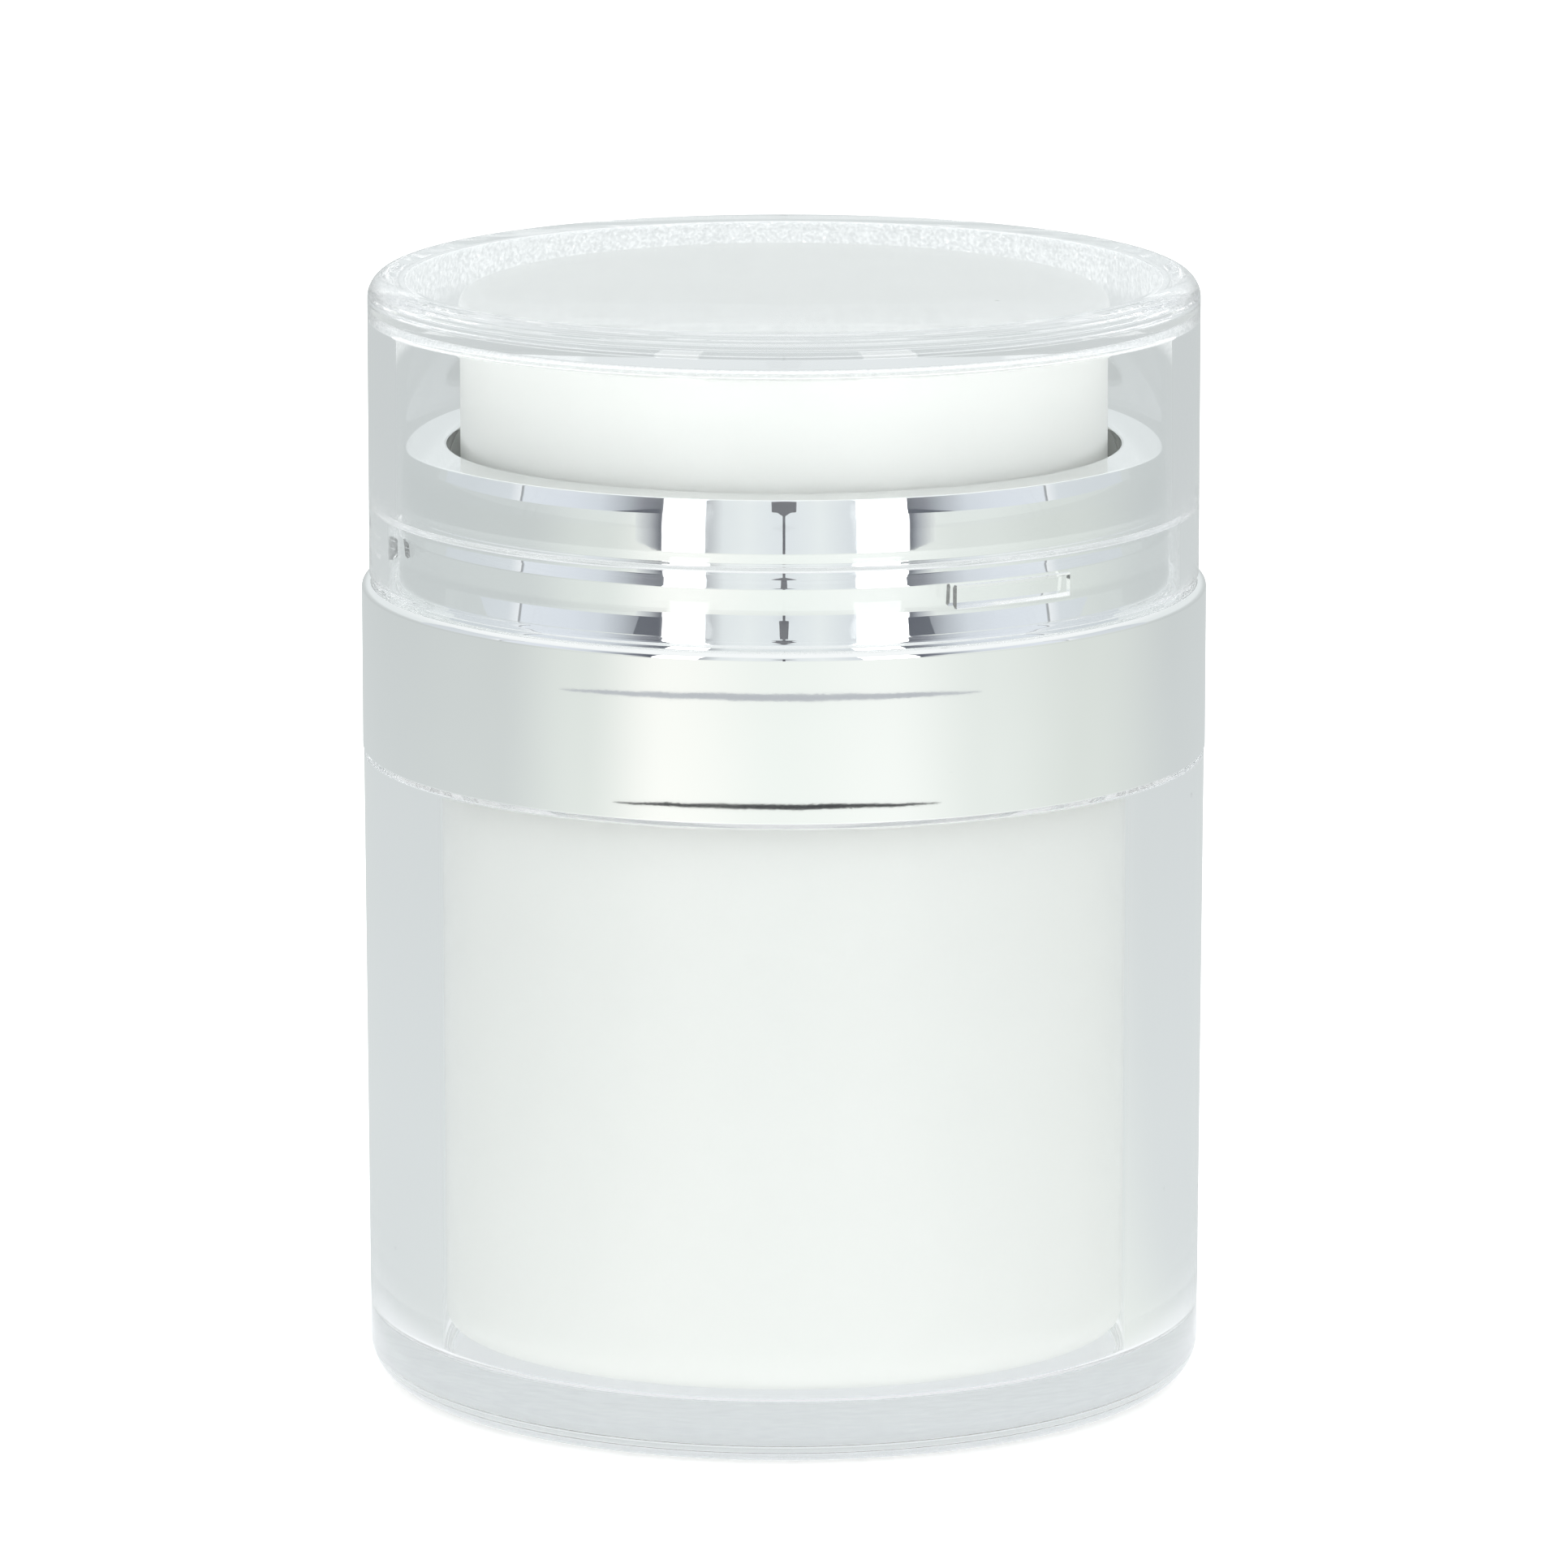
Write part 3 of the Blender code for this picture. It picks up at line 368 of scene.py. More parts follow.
# Node trees
class Tree:
    """Short calls for building a geometry or shader node tree."""

    def __init__(self, tree):
        self.tree = tree

    def add(self, kind, values=(), **settings):
        node = self.tree.nodes.new(kind)
        for name, value in settings.items():
            setattr(node, name, value)
        self.fill(node, values)
        return node

    def fill(self, node, values):
        """Feeds inputs from pairs of a socket, by name or number, and a value."""
        for socket, value in dict(values).items():
            self.feed(node.inputs[socket], value)

    def feed(self, socket, value):
        if isinstance(value, bpy.types.NodeSocket):
            self.tree.links.new(value, socket)
        else:
            socket.default_value = value

    def math(self, operation, *values, clamp=False):
        node = self.add("ShaderNodeMath", operation=operation, use_clamp=clamp)
        for socket, value in zip(node.inputs, values):
            self.feed(socket, value)
        return node.outputs[0]

    def plus(self, *values):
        return self.math("ADD", *values)

    def minus(self, *values, clamp=False):
        return self.math("SUBTRACT", *values, clamp=clamp)

    def times(self, *values):
        return self.math("MULTIPLY", *values)

    def over(self, *values, clamp=False):
        return self.math("DIVIDE", *values, clamp=clamp)

    def place(self):
        """Where a point lies on its object, which is also where it lies in the room."""
        return self.add("ShaderNodeTexCoord").outputs["Object"]

    def split(self, vector):
        """The three parts of a vector."""
        return self.add("ShaderNodeSeparateXYZ", {0: vector}).outputs

    def reach(self, x, y):
        """How far a place lies from the Z axis."""
        squares = [self.math("POWER", value, 2.0) for value in (x, y)]
        return self.math("SQRT", self.plus(*squares))

    def angle(self, x, y):
        """The angle of a place about Z, from the camera's side."""
        return self.math("ARCTAN2", x, self.times(y, -1.0))

    def ranged(self, value, low, high, to_low=0.0, to_high=1.0, smooth=False):
        """Moves a value from one range to another, and holds it at the two ends."""
        ends = {"Value": value, "From Min": low, "From Max": high, "To Min": to_low, "To Max": to_high}
        kind = "SMOOTHSTEP" if smooth else "LINEAR"
        return self.add("ShaderNodeMapRange", ends, interpolation_type=kind).outputs[0]

    def mixed(self, factor, first, second):
        """The first colour where the factor is 0, the second where it is 1."""
        colors = {"Factor": factor, 6: first, 7: second}
        return self.add("ShaderNodeMix", colors, data_type="RGBA").outputs[2]

    def ramp(self, share, glow, first, last):
        """The colours of a table by the angle, where the share runs from first to last degrees."""
        node = self.add("ShaderNodeValToRGB", {0: share})
        stops = node.color_ramp.elements
        for degrees, color in glow:
            position = (degrees - first) / (last - first)
            if degrees == glow[0][0]:
                stop = stops[0]
            elif degrees == glow[-1][0]:
                stop = stops[-1]
            else:
                stop = stops.new(position)
            stop.position = position
            stop.color = opaque(color)
        return node

    def gathered(self):
        """1 for light that a matt surface gathers, 0 for what is seen straight or mirrored."""
        depth = self.add("ShaderNodeLightPath").outputs["Diffuse Depth"]
        return self.math("MINIMUM", depth, 1.0)

    def shine(self, color, strength):
        """Lets the material glow, and nothing else."""
        glow = self.add("ShaderNodeEmission", {"Color": color, "Strength": strength})
        self.feed(self.tree.nodes["Material Output"].inputs["Surface"], glow.outputs[0])


def opaque(color):
    return (*color, 1.0)


def new_tree(name, kind, inputs, outputs):
    """A node group with named sockets, and its input and output nodes."""
    tree = bpy.data.node_groups.new(name, kind)
    for label, socket_type, value in inputs:
        socket = tree.interface.new_socket(label, in_out="INPUT", socket_type=socket_type)
        if value is not None:
            socket.default_value = value
    for label, socket_type in outputs:
        tree.interface.new_socket(label, in_out="OUTPUT", socket_type=socket_type)
    made = Tree(tree)
    return made, made.add("NodeGroupInput").outputs, made.add("NodeGroupOutput").inputs


def new_material(name):
    """A material, its tree to build on, and its first nodes."""
    material = bpy.data.materials.new(name)
    material.use_nodes = True
    return material, Tree(material.node_tree), material.node_tree.nodes


def apply_tree(item, tree, values):
    """Runs a geometry tree on an object with its named inputs set, and keeps the plain mesh."""
    step = item.modifiers.new(tree.name, "NODES")
    step.node_group = tree
    for socket in tree.interface.items_tree:
        if socket.item_type == "SOCKET" and socket.in_out == "INPUT" and socket.name in values:
            step[socket.identifier] = values[socket.name]
    item.update_tag()
    baked(item)


def geometry_tree(name, values):
    """A geometry tree with a geometry, named values and a material as its inputs."""
    kinds = {int: "NodeSocketInt", float: "NodeSocketFloat"}
    inputs = [("Geometry", "NodeSocketGeometry", None)]
    inputs += [(label, kinds[type(value)], value) for label, value in values.items()]
    inputs += [("Material", "NodeSocketMaterial", None)]
    return new_tree(name, "GeometryNodeTree", inputs, [("Geometry", "NodeSocketGeometry")])


def finish_tree(made, given, result, geometry):
    """Sets the material on what a geometry tree has made, and hands it out."""
    final = made.add("GeometryNodeSetMaterial", {"Geometry": geometry, "Material": given["Material"]})
    made.feed(result["Geometry"], final.outputs[0])
    return made.tree


def ring_copies_tree():
    """Copies of one solid, evenly spaced about Z."""
    made, given, result = geometry_tree("ring_copies", {"Count": 3, "First Angle": 0.0})
    points = made.add("GeometryNodeMeshLine", {"Count": given["Count"], "Offset": (0.0, 0.0, 0.0)})
    index = made.add("GeometryNodeInputIndex").outputs[0]
    turn = made.over(made.times(index, 2 * pi), given["Count"])
    angle = made.plus(turn, given["First Angle"])
    rotation = made.add("ShaderNodeCombineXYZ", {"Z": angle}).outputs[0]
    copies = made.add(
        "GeometryNodeInstanceOnPoints",
        {"Points": points.outputs[0], "Instance": given["Geometry"], "Rotation": rotation},
    )
    one = made.add("GeometryNodeRealizeInstances", {"Geometry": copies.outputs[0]})
    return finish_tree(made, given, result, one.outputs[0])


def screw_thread_tree():
    """Raises a helical ridge on a round wall, in or out, with its two ends run out."""
    labels = ("Wall Radius", "Low", "High", "Pitch", "Reach", "Share", "Phase")
    made, given, result = geometry_tree("screw_thread", dict.fromkeys(labels, 0.0))
    parts = made.split(made.add("GeometryNodeInputPosition").outputs[0])
    radius = made.reach(parts[0], parts[1])
    on_wall = made.math("COMPARE", radius, given["Wall Radius"], WALL_TOLERANCE)
    around = made.over(made.math("ARCTAN2", parts[1], parts[0]), 2 * pi)
    turn = made.plus(around, given["Phase"])
    along = made.minus(made.over(parts[2], given["Pitch"]), turn)
    saw = made.math("ABSOLUTE", made.minus(made.math("FRACT", along), 0.5))
    foot = made.times(given["Share"], 0.5)
    crest = made.times(given["Share"], THREAD_CREST_SHARE)
    ridge = made.ranged(saw, foot, crest, smooth=True)
    run_out = made.times(given["Pitch"], THREAD_RUN_OUT)
    start = made.over(made.minus(parts[2], given["Low"]), run_out, clamp=True)
    stop = made.over(made.minus(given["High"], parts[2]), run_out, clamp=True)
    ends = made.times(start, stop)
    height = made.times(made.times(ridge, on_wall), ends)
    reach = made.over(made.times(height, given["Reach"]), radius)
    outward = made.add("ShaderNodeCombineXYZ", {"X": parts[0], "Y": parts[1], "Z": 0.0}).outputs[0]
    shift = made.add("ShaderNodeVectorMath", {0: outward, "Scale": reach}, operation="SCALE").outputs[0]
    moved = made.add("GeometryNodeSetPosition", {"Geometry": given["Geometry"], "Offset": shift})
    return finish_tree(made, given, result, moved.outputs[0])


def coil_spring_tree(values):
    """An open coil with close turns at both ends, from a line that the tree bends."""
    made, given, result = geometry_tree("coil_spring", values)
    line = made.add("GeometryNodeCurvePrimitiveLine", {"Start": (0, 0, 0), "End": (0, 0, 1)})
    fine = made.add("GeometryNodeResampleCurve", {"Curve": line.outputs[0], "Count": given["Steps"]})
    share = made.add("GeometryNodeSplineParameter").outputs["Factor"]
    closed = given["Closed Share"]
    closed_rise = given["Closed Rise"]
    first = made.times(made.over(share, closed, clamp=True), closed_rise)
    last_start = made.minus(1.0, closed)
    last_share = made.over(made.minus(share, last_start), closed, clamp=True)
    last = made.times(last_share, closed_rise)
    open_span = made.minus(1.0, made.times(closed, 2.0))
    middle = made.over(made.minus(share, closed), open_span, clamp=True)
    height = made.minus(given["High"], given["Low"])
    free = made.minus(height, made.times(closed_rise, 2.0))
    rise = made.plus(made.plus(first, last), made.times(middle, free))
    angle = made.times(made.times(share, given["Turns"]), 2 * pi)
    x = made.times(made.math("COSINE", angle), given["Radius"])
    y = made.times(made.math("SINE", angle), given["Radius"])
    z = made.plus(rise, given["Low"])
    place = made.add("ShaderNodeCombineXYZ", {"X": x, "Y": y, "Z": z}).outputs[0]
    bent = made.add("GeometryNodeSetPosition", {"Geometry": fine.outputs[0], "Position": place})
    section = made.add(
        "GeometryNodeCurvePrimitiveCircle",
        {"Resolution": given["Wire Steps"], "Radius": given["Wire Radius"]},
    )
    wire = made.add(
        "GeometryNodeCurveToMesh",
        {"Curve": bent.outputs[0], "Profile Curve": section.outputs[0], "Fill Caps": True},
    )
    return finish_tree(made, given, result, wire.outputs[0])


# Shader node groups
def moulded_surface_group():
    """Slight waves, fine grain and rare specks of a moulded surface, as a height and masks."""
    scales = ("Wave Scale", "Grain Scale", "Speck Scale", "Speck Size", "Grain Share")
    made, given, result = new_tree(
        "moulded_surface",
        "ShaderNodeTree",
        [(label, "NodeSocketFloat", None) for label in scales],
        [(label, "NodeSocketFloat") for label in ("Height", "Specks", "Cloud")],
    )
    place = made.place()
    waves, grain = [
        made.add("ShaderNodeTexNoise", {"Vector": place, "Scale": given[scale], "Detail": detail})
        for scale, detail in (("Wave Scale", 2.0), ("Grain Scale", 3.0))
    ]
    cells = made.add("ShaderNodeTexVoronoi", {"Vector": place, "Scale": given["Speck Scale"]})
    chance = made.add("ShaderNodeSeparateColor", {0: cells.outputs["Color"]}).outputs[0]
    size = made.times(given["Speck Size"], made.math("GREATER_THAN", chance, PLAIN_CELLS))
    specks = made.math("LESS_THAN", cells.outputs["Distance"], size)
    fine = made.times(grain.outputs[0], given["Grain Share"])
    made.feed(result["Height"], made.plus(made.plus(waves.outputs[0], fine), specks))
    made.feed(result["Specks"], specks)
    made.feed(result["Cloud"], waves.outputs[0])
    return made.tree


def room_glow_group():
    """How bright the room is in a direction round the object: full in front, dim behind."""
    made, given, result = new_tree(
        "room_glow",
        "ShaderNodeTree",
        [("Direction", "NodeSocketVector", None)],
        [("Color", "NodeSocketColor")],
    )
    parts = made.split(given["Direction"])
    turns = made.over(made.angle(parts[0], parts[1]), 2 * pi)
    ramp = made.ramp(made.plus(turns, 0.5), ROOM_GLOW, -180.0, 180.0)
    ramp.color_ramp.interpolation = "EASE"
    made.feed(result["Color"], ramp.outputs[0])
    return made.tree


# Looks of the finishes. Marks are the scales of waves, grain and specks, the size of a speck and
# the share of the grain. Relief is its strength and its depth in metres. Most cells of a surface
# carry no speck.
PLAIN_CELLS = 0.93
ACRYLIC = {"Transmission Weight": 1.0, "IOR": 1.49}
METAL = {"Metallic": 1.0}
PLAIN = {"marks": (80.0, 1800.0, 300.0, 0.05, 0.3), "relief": (0.2, 0.00002)}
FINISHES = {
    "clear_acrylic": {
        "shader": ACRYLIC,
        "marks": (90.0, 2500.0, 260.0, 0.05, 0.02),
        "tints": ((0.985, 0.99, 0.992), (0.992, 0.996, 0.998)),
        "roughness": (0.0, 0.25),
        "gloss mask": "Specks",
        "relief": (0.15, 0.00002),
    },
    # Frosted acrylic with a painted glow: its emission stands in for light that the frost scatters.
    "frosted_glowing_acrylic": {
        "shader": {**ACRYLIC, "Emission Strength": 1.0},
        "marks": (3600.0, 9000.0, 2600.0, 0.3, 0.5),
        "tints": ((0.985, 0.99, 0.99), (1.0, 1.0, 1.0)),
        "roughness": (0.0, 0.04),
    },
    # Matt acrylic with a faint painted bluish glow in its emission, which brightens the base.
    "matt_glowing_acrylic": {
        "shader": {**ACRYLIC, "Emission Color": (0.82, 0.92, 1.0, 1.0), "Emission Strength": 0.08},
        "marks": (900.0, 5000.0, 900.0, 0.1, 0.4),
        "tints": ((0.97, 0.98, 0.985), (0.985, 0.992, 0.995)),
        "roughness": (0.42, 0.55),
        "relief": (0.1, 0.00001),
    },
    "white_plastic": {
        "marks": (70.0, 2200.0, 300.0, 0.04, 0.25),
        "tints": ((0.93, 0.95, 0.925), (0.945, 0.96, 0.94)),
        "roughness": (0.28, 0.36),
        "relief": (0.2, 0.00002),
    },
    "bright_metal": {
        "shader": METAL,
        "marks": (160.0, 2600.0, 420.0, 0.05, 0.04),
        "tints": ((0.92, 0.93, 0.925), (0.94, 0.95, 0.945)),
        "roughness": (0.008, 0.016),
        "relief": (0.12, 0.00001),
    },
    "natural_plastic": {
        **PLAIN,
        "tints": ((0.80, 0.82, 0.80), (0.84, 0.86, 0.84)),
        "roughness": (0.4, 0.52),
    },
    "soft_seal": {
        **PLAIN,
        "tints": ((0.72, 0.74, 0.73), (0.77, 0.79, 0.78)),
        "roughness": (0.55, 0.67),
    },
    "spring_steel": {
        **PLAIN,
        "shader": METAL,
        "tints": ((0.55, 0.56, 0.57), (0.62, 0.63, 0.64)),
        "roughness": (0.2, 0.32),
    },
}


def new_finish(name, group):
    """A material with the marks, tints, gloss and relief that the table of finishes gives it."""
    looks = FINISHES[name]
    material, made, nodes = new_material(name)
    shader = nodes["Principled BSDF"]
    made.fill(shader, looks.get("shader", {}))
    marks = made.add("ShaderNodeGroup", enumerate(looks["marks"]), node_tree=group, name="marks")
    dark, light = looks["tints"]
    tint = made.mixed(marks.outputs["Cloud"], opaque(dark), opaque(light))
    made.feed(shader.inputs["Base Color"], tint)
    gloss_mask = marks.outputs[looks.get("gloss mask", "Cloud")]
    made.feed(shader.inputs["Roughness"], made.ranged(gloss_mask, 0.0, 1.0, *looks["roughness"]))
    if "relief" in looks:
        strength, distance = looks["relief"]
        values = {"Height": marks.outputs["Height"], "Strength": strength, "Distance": distance}
        made.feed(shader.inputs["Normal"], made.add("ShaderNodeBump", values).outputs[0])
    return material


def add_frost_glow(material):
    """A fine frost at the top of the cap's bore, with a painted white glow in its emission that
    sparkles inside the cavity.
    """
    made = Tree(material.node_tree)
    grain = material.node_tree.nodes["marks"].outputs
    height = made.split(made.place())[2]
    upper = made.ranged(height, FROST_LOW * MM, FROST_FULL * MM, smooth=True)
    # Painted glow: a white from the grain and the specks, fed into the emission in place of scattered
    # light.
    sparkle = made.ranged(grain["Cloud"], *FROST_GRAIN, *FROST_PAINTED_GLOW)
    inner_side = made.minus(1.0, made.add("ShaderNodeNewGeometry").outputs["Backfacing"])
    above = made.math("GREATER_THAN", height, FROST_CORNER * MM)
    seen = made.math("MAXIMUM", inner_side, made.times(above, FROST_CORNER_SHARE))
    frost = made.plus(sparkle, made.times(grain["Specks"], FROST_SPECK_GLOW))
    white = made.times(made.times(frost, upper), seen)
    color = made.add("ShaderNodeCombineColor", {0: white, 1: white, 2: white}).outputs[0]
    made.feed(material.node_tree.nodes["Principled BSDF"].inputs["Emission Color"], color)


# Pieces
def placed(item, materials, body, slot, node):
    """Gives a piece the finish named by its slot and its body, and hides the imported node that it
    stands for. It is smooth along the turning and the roundings, and crisp elsewhere."""
    item.data.materials.clear()
    item.data.materials.append(materials[slot])
    item.data.shade_smooth()
    item.data.set_sharp_from_angle(angle=radians(SHARP_DEGREES))
    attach(item, body)
    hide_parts(node)


def threaded(item, tree, wall, low, high, reach, phase):
    values = {
        "Wall Radius": wall * MM,
        "Low": low * MM,
        "High": high * MM,
        "Pitch": THREAD_PITCH * MM,
        "Reach": reach * MM,
        "Share": THREAD_SHARE,
        "Phase": phase,
    }
    apply_tree(item, tree, values)


def clear_jar(materials, thread):
    """Thick jar with a rounded base, a matt underside in a foot ring, and a threaded neck."""
    points = outline(
        [
            (0.0, JAR_FLOOR),
            (JAR_BORE - DRAFT, JAR_FLOOR, JAR_FLOOR_CORNER),
            (JAR_BORE, JAR_TOP),
            (JAR_NECK_CORE - JAR_NECK_EDGE, JAR_TOP),
            (JAR_NECK_CORE, JAR_TOP - JAR_NECK_EDGE),
        ],
        closed=False,
    )
    points += rows_between(JAR_NECK_CORE, JAR_TOP - 2 * JAR_NECK_EDGE, JAR_BODY, THREAD_ROW)
    points += outline(
        [
            (JAR_NECK_CORE, JAR_BODY),
            (JAR_RADIUS, JAR_BODY, JAR_SHOULDER_EDGE),
            (JAR_BASE_RADIUS, 0.0, JAR_BASE_EDGE),
            (FOOT_RADIUS, 0.0, FOOT_EDGE),
            (FOOT_RADIUS - FOOT_RECESS, FOOT_RECESS, FOOT_EDGE),
            (0.0, FOOT_RECESS),
        ],
        closed=False,
    )[1:]
    item = turned("clear_jar", points, closed=False)
    threaded(item, thread, JAR_NECK_CORE, THREAD_LOW, THREAD_HIGH, THREAD_REACH, 0.0)
    placed(item, materials, "jar", "clear_acrylic", "outer_jar")
    # The matt underside in the foot ring carries a faint painted glow.
    item.data.materials.append(materials["matt_glowing_acrylic"])
    for face in item.data.polygons:
        reach = hypot(face.center.x, face.center.y) / MM
        if reach < FOOT_RADIUS - FOOT_RECESS and face.center.z / MM < FOOT_RECESS + SUPPORT:
            face.material_index = 1


def white_cup(materials):
    """Cup that hangs by its flange from the jar's neck."""
    points = outline(
        [
            (CUP_FLANGE_RADIUS, CUP_TOP, SMALL_EDGE),
            (CUP_FLANGE_RADIUS, CUP_TOP - CUP_FLANGE, SMALL_EDGE),
            (CUP_RADIUS, CUP_TOP - CUP_FLANGE),
            (CUP_RADIUS - DRAFT, CUP_BOTTOM, CUP_CORNER),
            (VENT_RADIUS, CUP_BOTTOM),
            (VENT_RADIUS, CUP_BOTTOM + CUP_WALL),
            (CUP_RADIUS - CUP_WALL - DRAFT, CUP_BOTTOM + CUP_WALL, CUP_CORNER - CUP_WALL),
            (CUP_RADIUS - CUP_WALL, CUP_TOP, SMALL_EDGE),
        ]
    )
    placed(turned("white_cup", points), materials, "jar", "white_plastic", "inner_cup")


def bright_collar(materials):
    """Wide band, shoulder and neck with two snap grooves and a bead, turned in over the bore."""
    points = outline(
        [
            (NECK_LEAD_RADIUS - NECK_LEAD_REACH, NECK_TOP, NECK_TOP_EDGE),
            (NECK_LEAD_RADIUS, NECK_TOP - NECK_LEAD, LEAD_ROUNDING),
            (NECK_RADIUS, GROOVE_TOP, NECK_CREST_EDGE),
            (UPPER_GROOVE_RADIUS, UPPER_GROOVE, GROOVE_ROUNDING),
            (SNAP_BEAD_RADIUS, SNAP_BEAD, NECK_CREST_EDGE),
            (LOWER_GROOVE_RADIUS, LOWER_GROOVE, GROOVE_ROUNDING),
            (NECK_FOOT_RADIUS, NECK_FOOT, NECK_CREST_EDGE),
            (NECK_FOOT_RADIUS, SHOULDER, SMALL_EDGE),
            (COLLAR_RADIUS, SHOULDER, COLLAR_EDGE),
            (COLLAR_RADIUS, COLLAR_BOTTOM, COLLAR_FOOT_EDGE),
            (COLLAR_RADIUS - COLLAR_WALL, COLLAR_BOTTOM, COLLAR_FOOT_EDGE),
            (COLLAR_RADIUS - COLLAR_WALL, SHOULDER - COLLAR_WALL),
            (NECK_INSIDE, SHOULDER - COLLAR_WALL),
            (NECK_INSIDE, NECK_TOP - COLLAR_WALL),
            (NECK_BORE + COLLAR_WALL, NECK_TOP - COLLAR_WALL),
            (NECK_BORE + COLLAR_WALL, NECK_TOP - BORE_LIP),
            (NECK_BORE, NECK_TOP - BORE_LIP),
            (NECK_BORE, NECK_TOP, BORE_EDGE),
        ]
    )
    placed(turned("bright_collar", points), materials, "pump_unit", "bright_metal", "collar_sleeve")


def screw_insert(materials, thread, copies):
    """Skirt that screws onto the jar, plate that carries the pump, and a ribbed guide wall."""
    guide = NECK_BORE + GUIDE_WALL
    points = outline(
        [
            (guide, INSERT_TOP, INSERT_EDGE),
            (guide, PLATE_TOP, INSERT_EDGE),
            (INSERT_RADIUS, PLATE_TOP, INSERT_SHOULDER_EDGE),
            (INSERT_RADIUS, INSERT_BOTTOM, INSERT_EDGE),
            (INSERT_BORE, INSERT_BOTTOM),
        ],
        closed=False,
    )
    points += rows_between(INSERT_BORE, PLATE_BOTTOM, INSERT_BOTTOM, THREAD_ROW)[::-1][1:]
    points += outline(
        [
            (INSERT_BORE, PLATE_BOTTOM),
            (PLATE_BORE, PLATE_BOTTOM),
            (PLATE_BORE, PLATE_TOP),
            (NECK_BORE, PLATE_TOP, INSERT_EDGE),
            (NECK_BORE, INSERT_TOP),
        ],
        closed=False,
    )[1:]
    item = turned("screw_insert", points)
    thread_low = INSERT_BOTTOM + INSERT_THREAD_RISE
    reach = -INSERT_THREAD_REACH
    threaded(item, thread, INSERT_BORE, thread_low, INSERT_THREAD_HIGH, reach, INSERT_THREAD_TURN)
    rib_outside = NECK_INSIDE - GUIDE_RIB_GAP
    rib_inside = guide - GUIDE_WALL / 2
    rib_top = INSERT_TOP - GUIDE_RIB_DROP
    rib_foot = PLATE_TOP - WELD
    corners = [
        (rib_inside, rib_top),
        (rib_outside, rib_top - GUIDE_RIB_DROP),
        (rib_outside, rib_foot),
        (rib_inside, rib_foot),
    ]
    rib = flat_rib("guide_ribs", corners, GUIDE_RIB)
    apply_tree(rib, copies, {"Count": GUIDE_RIB_COUNT, "First Angle": pi / GUIDE_RIB_COUNT})
    joined(item, rib)
    placed(item, materials, "pump_unit", "white_plastic", "collar_insert")


def dish(radius):
    """Height of the dished top at a radius."""
    return HEAD_TOP - DISH_DEPTH + DISH_DEPTH * (radius / (HEAD_RADIUS - HEAD_RIM)) ** 2


def press_button(materials, copies):
    """Dished button with a tall skirt, an outlet in its middle, a hub for the stem and ribs."""
    rim = HEAD_RADIUS - HEAD_RIM
    inside = HEAD_RADIUS - HEAD_WALL
    first = OUTLET_RADIUS + OUTLET_EDGE
    top = [(r, dish(r)) for r in evenly(first, rim, DISH_STEPS)[:-1]]
    under = [(r, dish(r) - HEAD_SKIN) for r in evenly(HEAD_SEAT, inside, DISH_STEPS)]
    points = outline(
        [
            *top,
            (rim, HEAD_TOP, HEAD_RIM_EDGE),
            (HEAD_RADIUS, HEAD_TOP, HEAD_EDGE),
            (HEAD_RADIUS, HEAD_BOTTOM, SMALL_EDGE),
            (inside, HEAD_BOTTOM, SMALL_EDGE),
            *reversed(under),
            (HEAD_SEAT, HEAD_CEILING),
            (HUB_RADIUS, HEAD_CEILING),
            (HUB_RADIUS, HUB_BOTTOM, SMALL_EDGE),
            (HUB_BORE, HUB_BOTTOM, SMALL_EDGE),
            (HUB_BORE, HEAD_CEILING),
            (OUTLET_RADIUS, HEAD_CEILING),
            (OUTLET_RADIUS, dish(0.0) - OUTLET_EDGE),
        ]
    )
    item = turned("press_button", points)
    rib_low = HEAD_CEILING - HEAD_RIB_HEIGHT
    rib_outside = inside + HEAD_WALL / 2
    corners = [(HEAD_SEAT + HEAD_RIB_INSET, rib_low)]
    corners += [(r, z + HEAD_SKIN / 2) for r, z in under]
    corners += [(rib_outside, under[-1][1] + HEAD_SKIN / 2), (rib_outside, rib_low)]
    rib = flat_rib("head_ribs", corners, HEAD_RIB)
    apply_tree(rib, copies, {"Count": HEAD_RIB_COUNT, "First Angle": pi / HEAD_RIB_COUNT})
    joined(item, rib)
    placed(item, materials, "head", "white_plastic", "press_head")


def bore_at(height):
    """Radius of the cap's upper bore, which narrows a little towards the ceiling."""
    share = (height - CAP_STEP_MIDDLE) / (CAP_CEILING - CAP_STEP_MIDDLE)
    return CAP_UPPER_BORE - DRAFT * share


def rim_with_lines():
    """The rounding of the cap's top edge, with the fine turned lines that run round it."""
    points = []
    for i in range(CAP_RIM_STEPS + 1):
        t = pi / 2 * (1 - i / CAP_RIM_STEPS)
        line = CAP_RIM_LINE if i % CAP_RIM_LINE_EVERY == CAP_RIM_LINE_EVERY // 2 else 0.0
        reach = CAP_TOP_EDGE - line
        middle = CAP_RADIUS - CAP_TOP_EDGE
        points.append((middle + reach * cos(t), CAP_TOP - CAP_TOP_EDGE + reach * sin(t)))
    return points


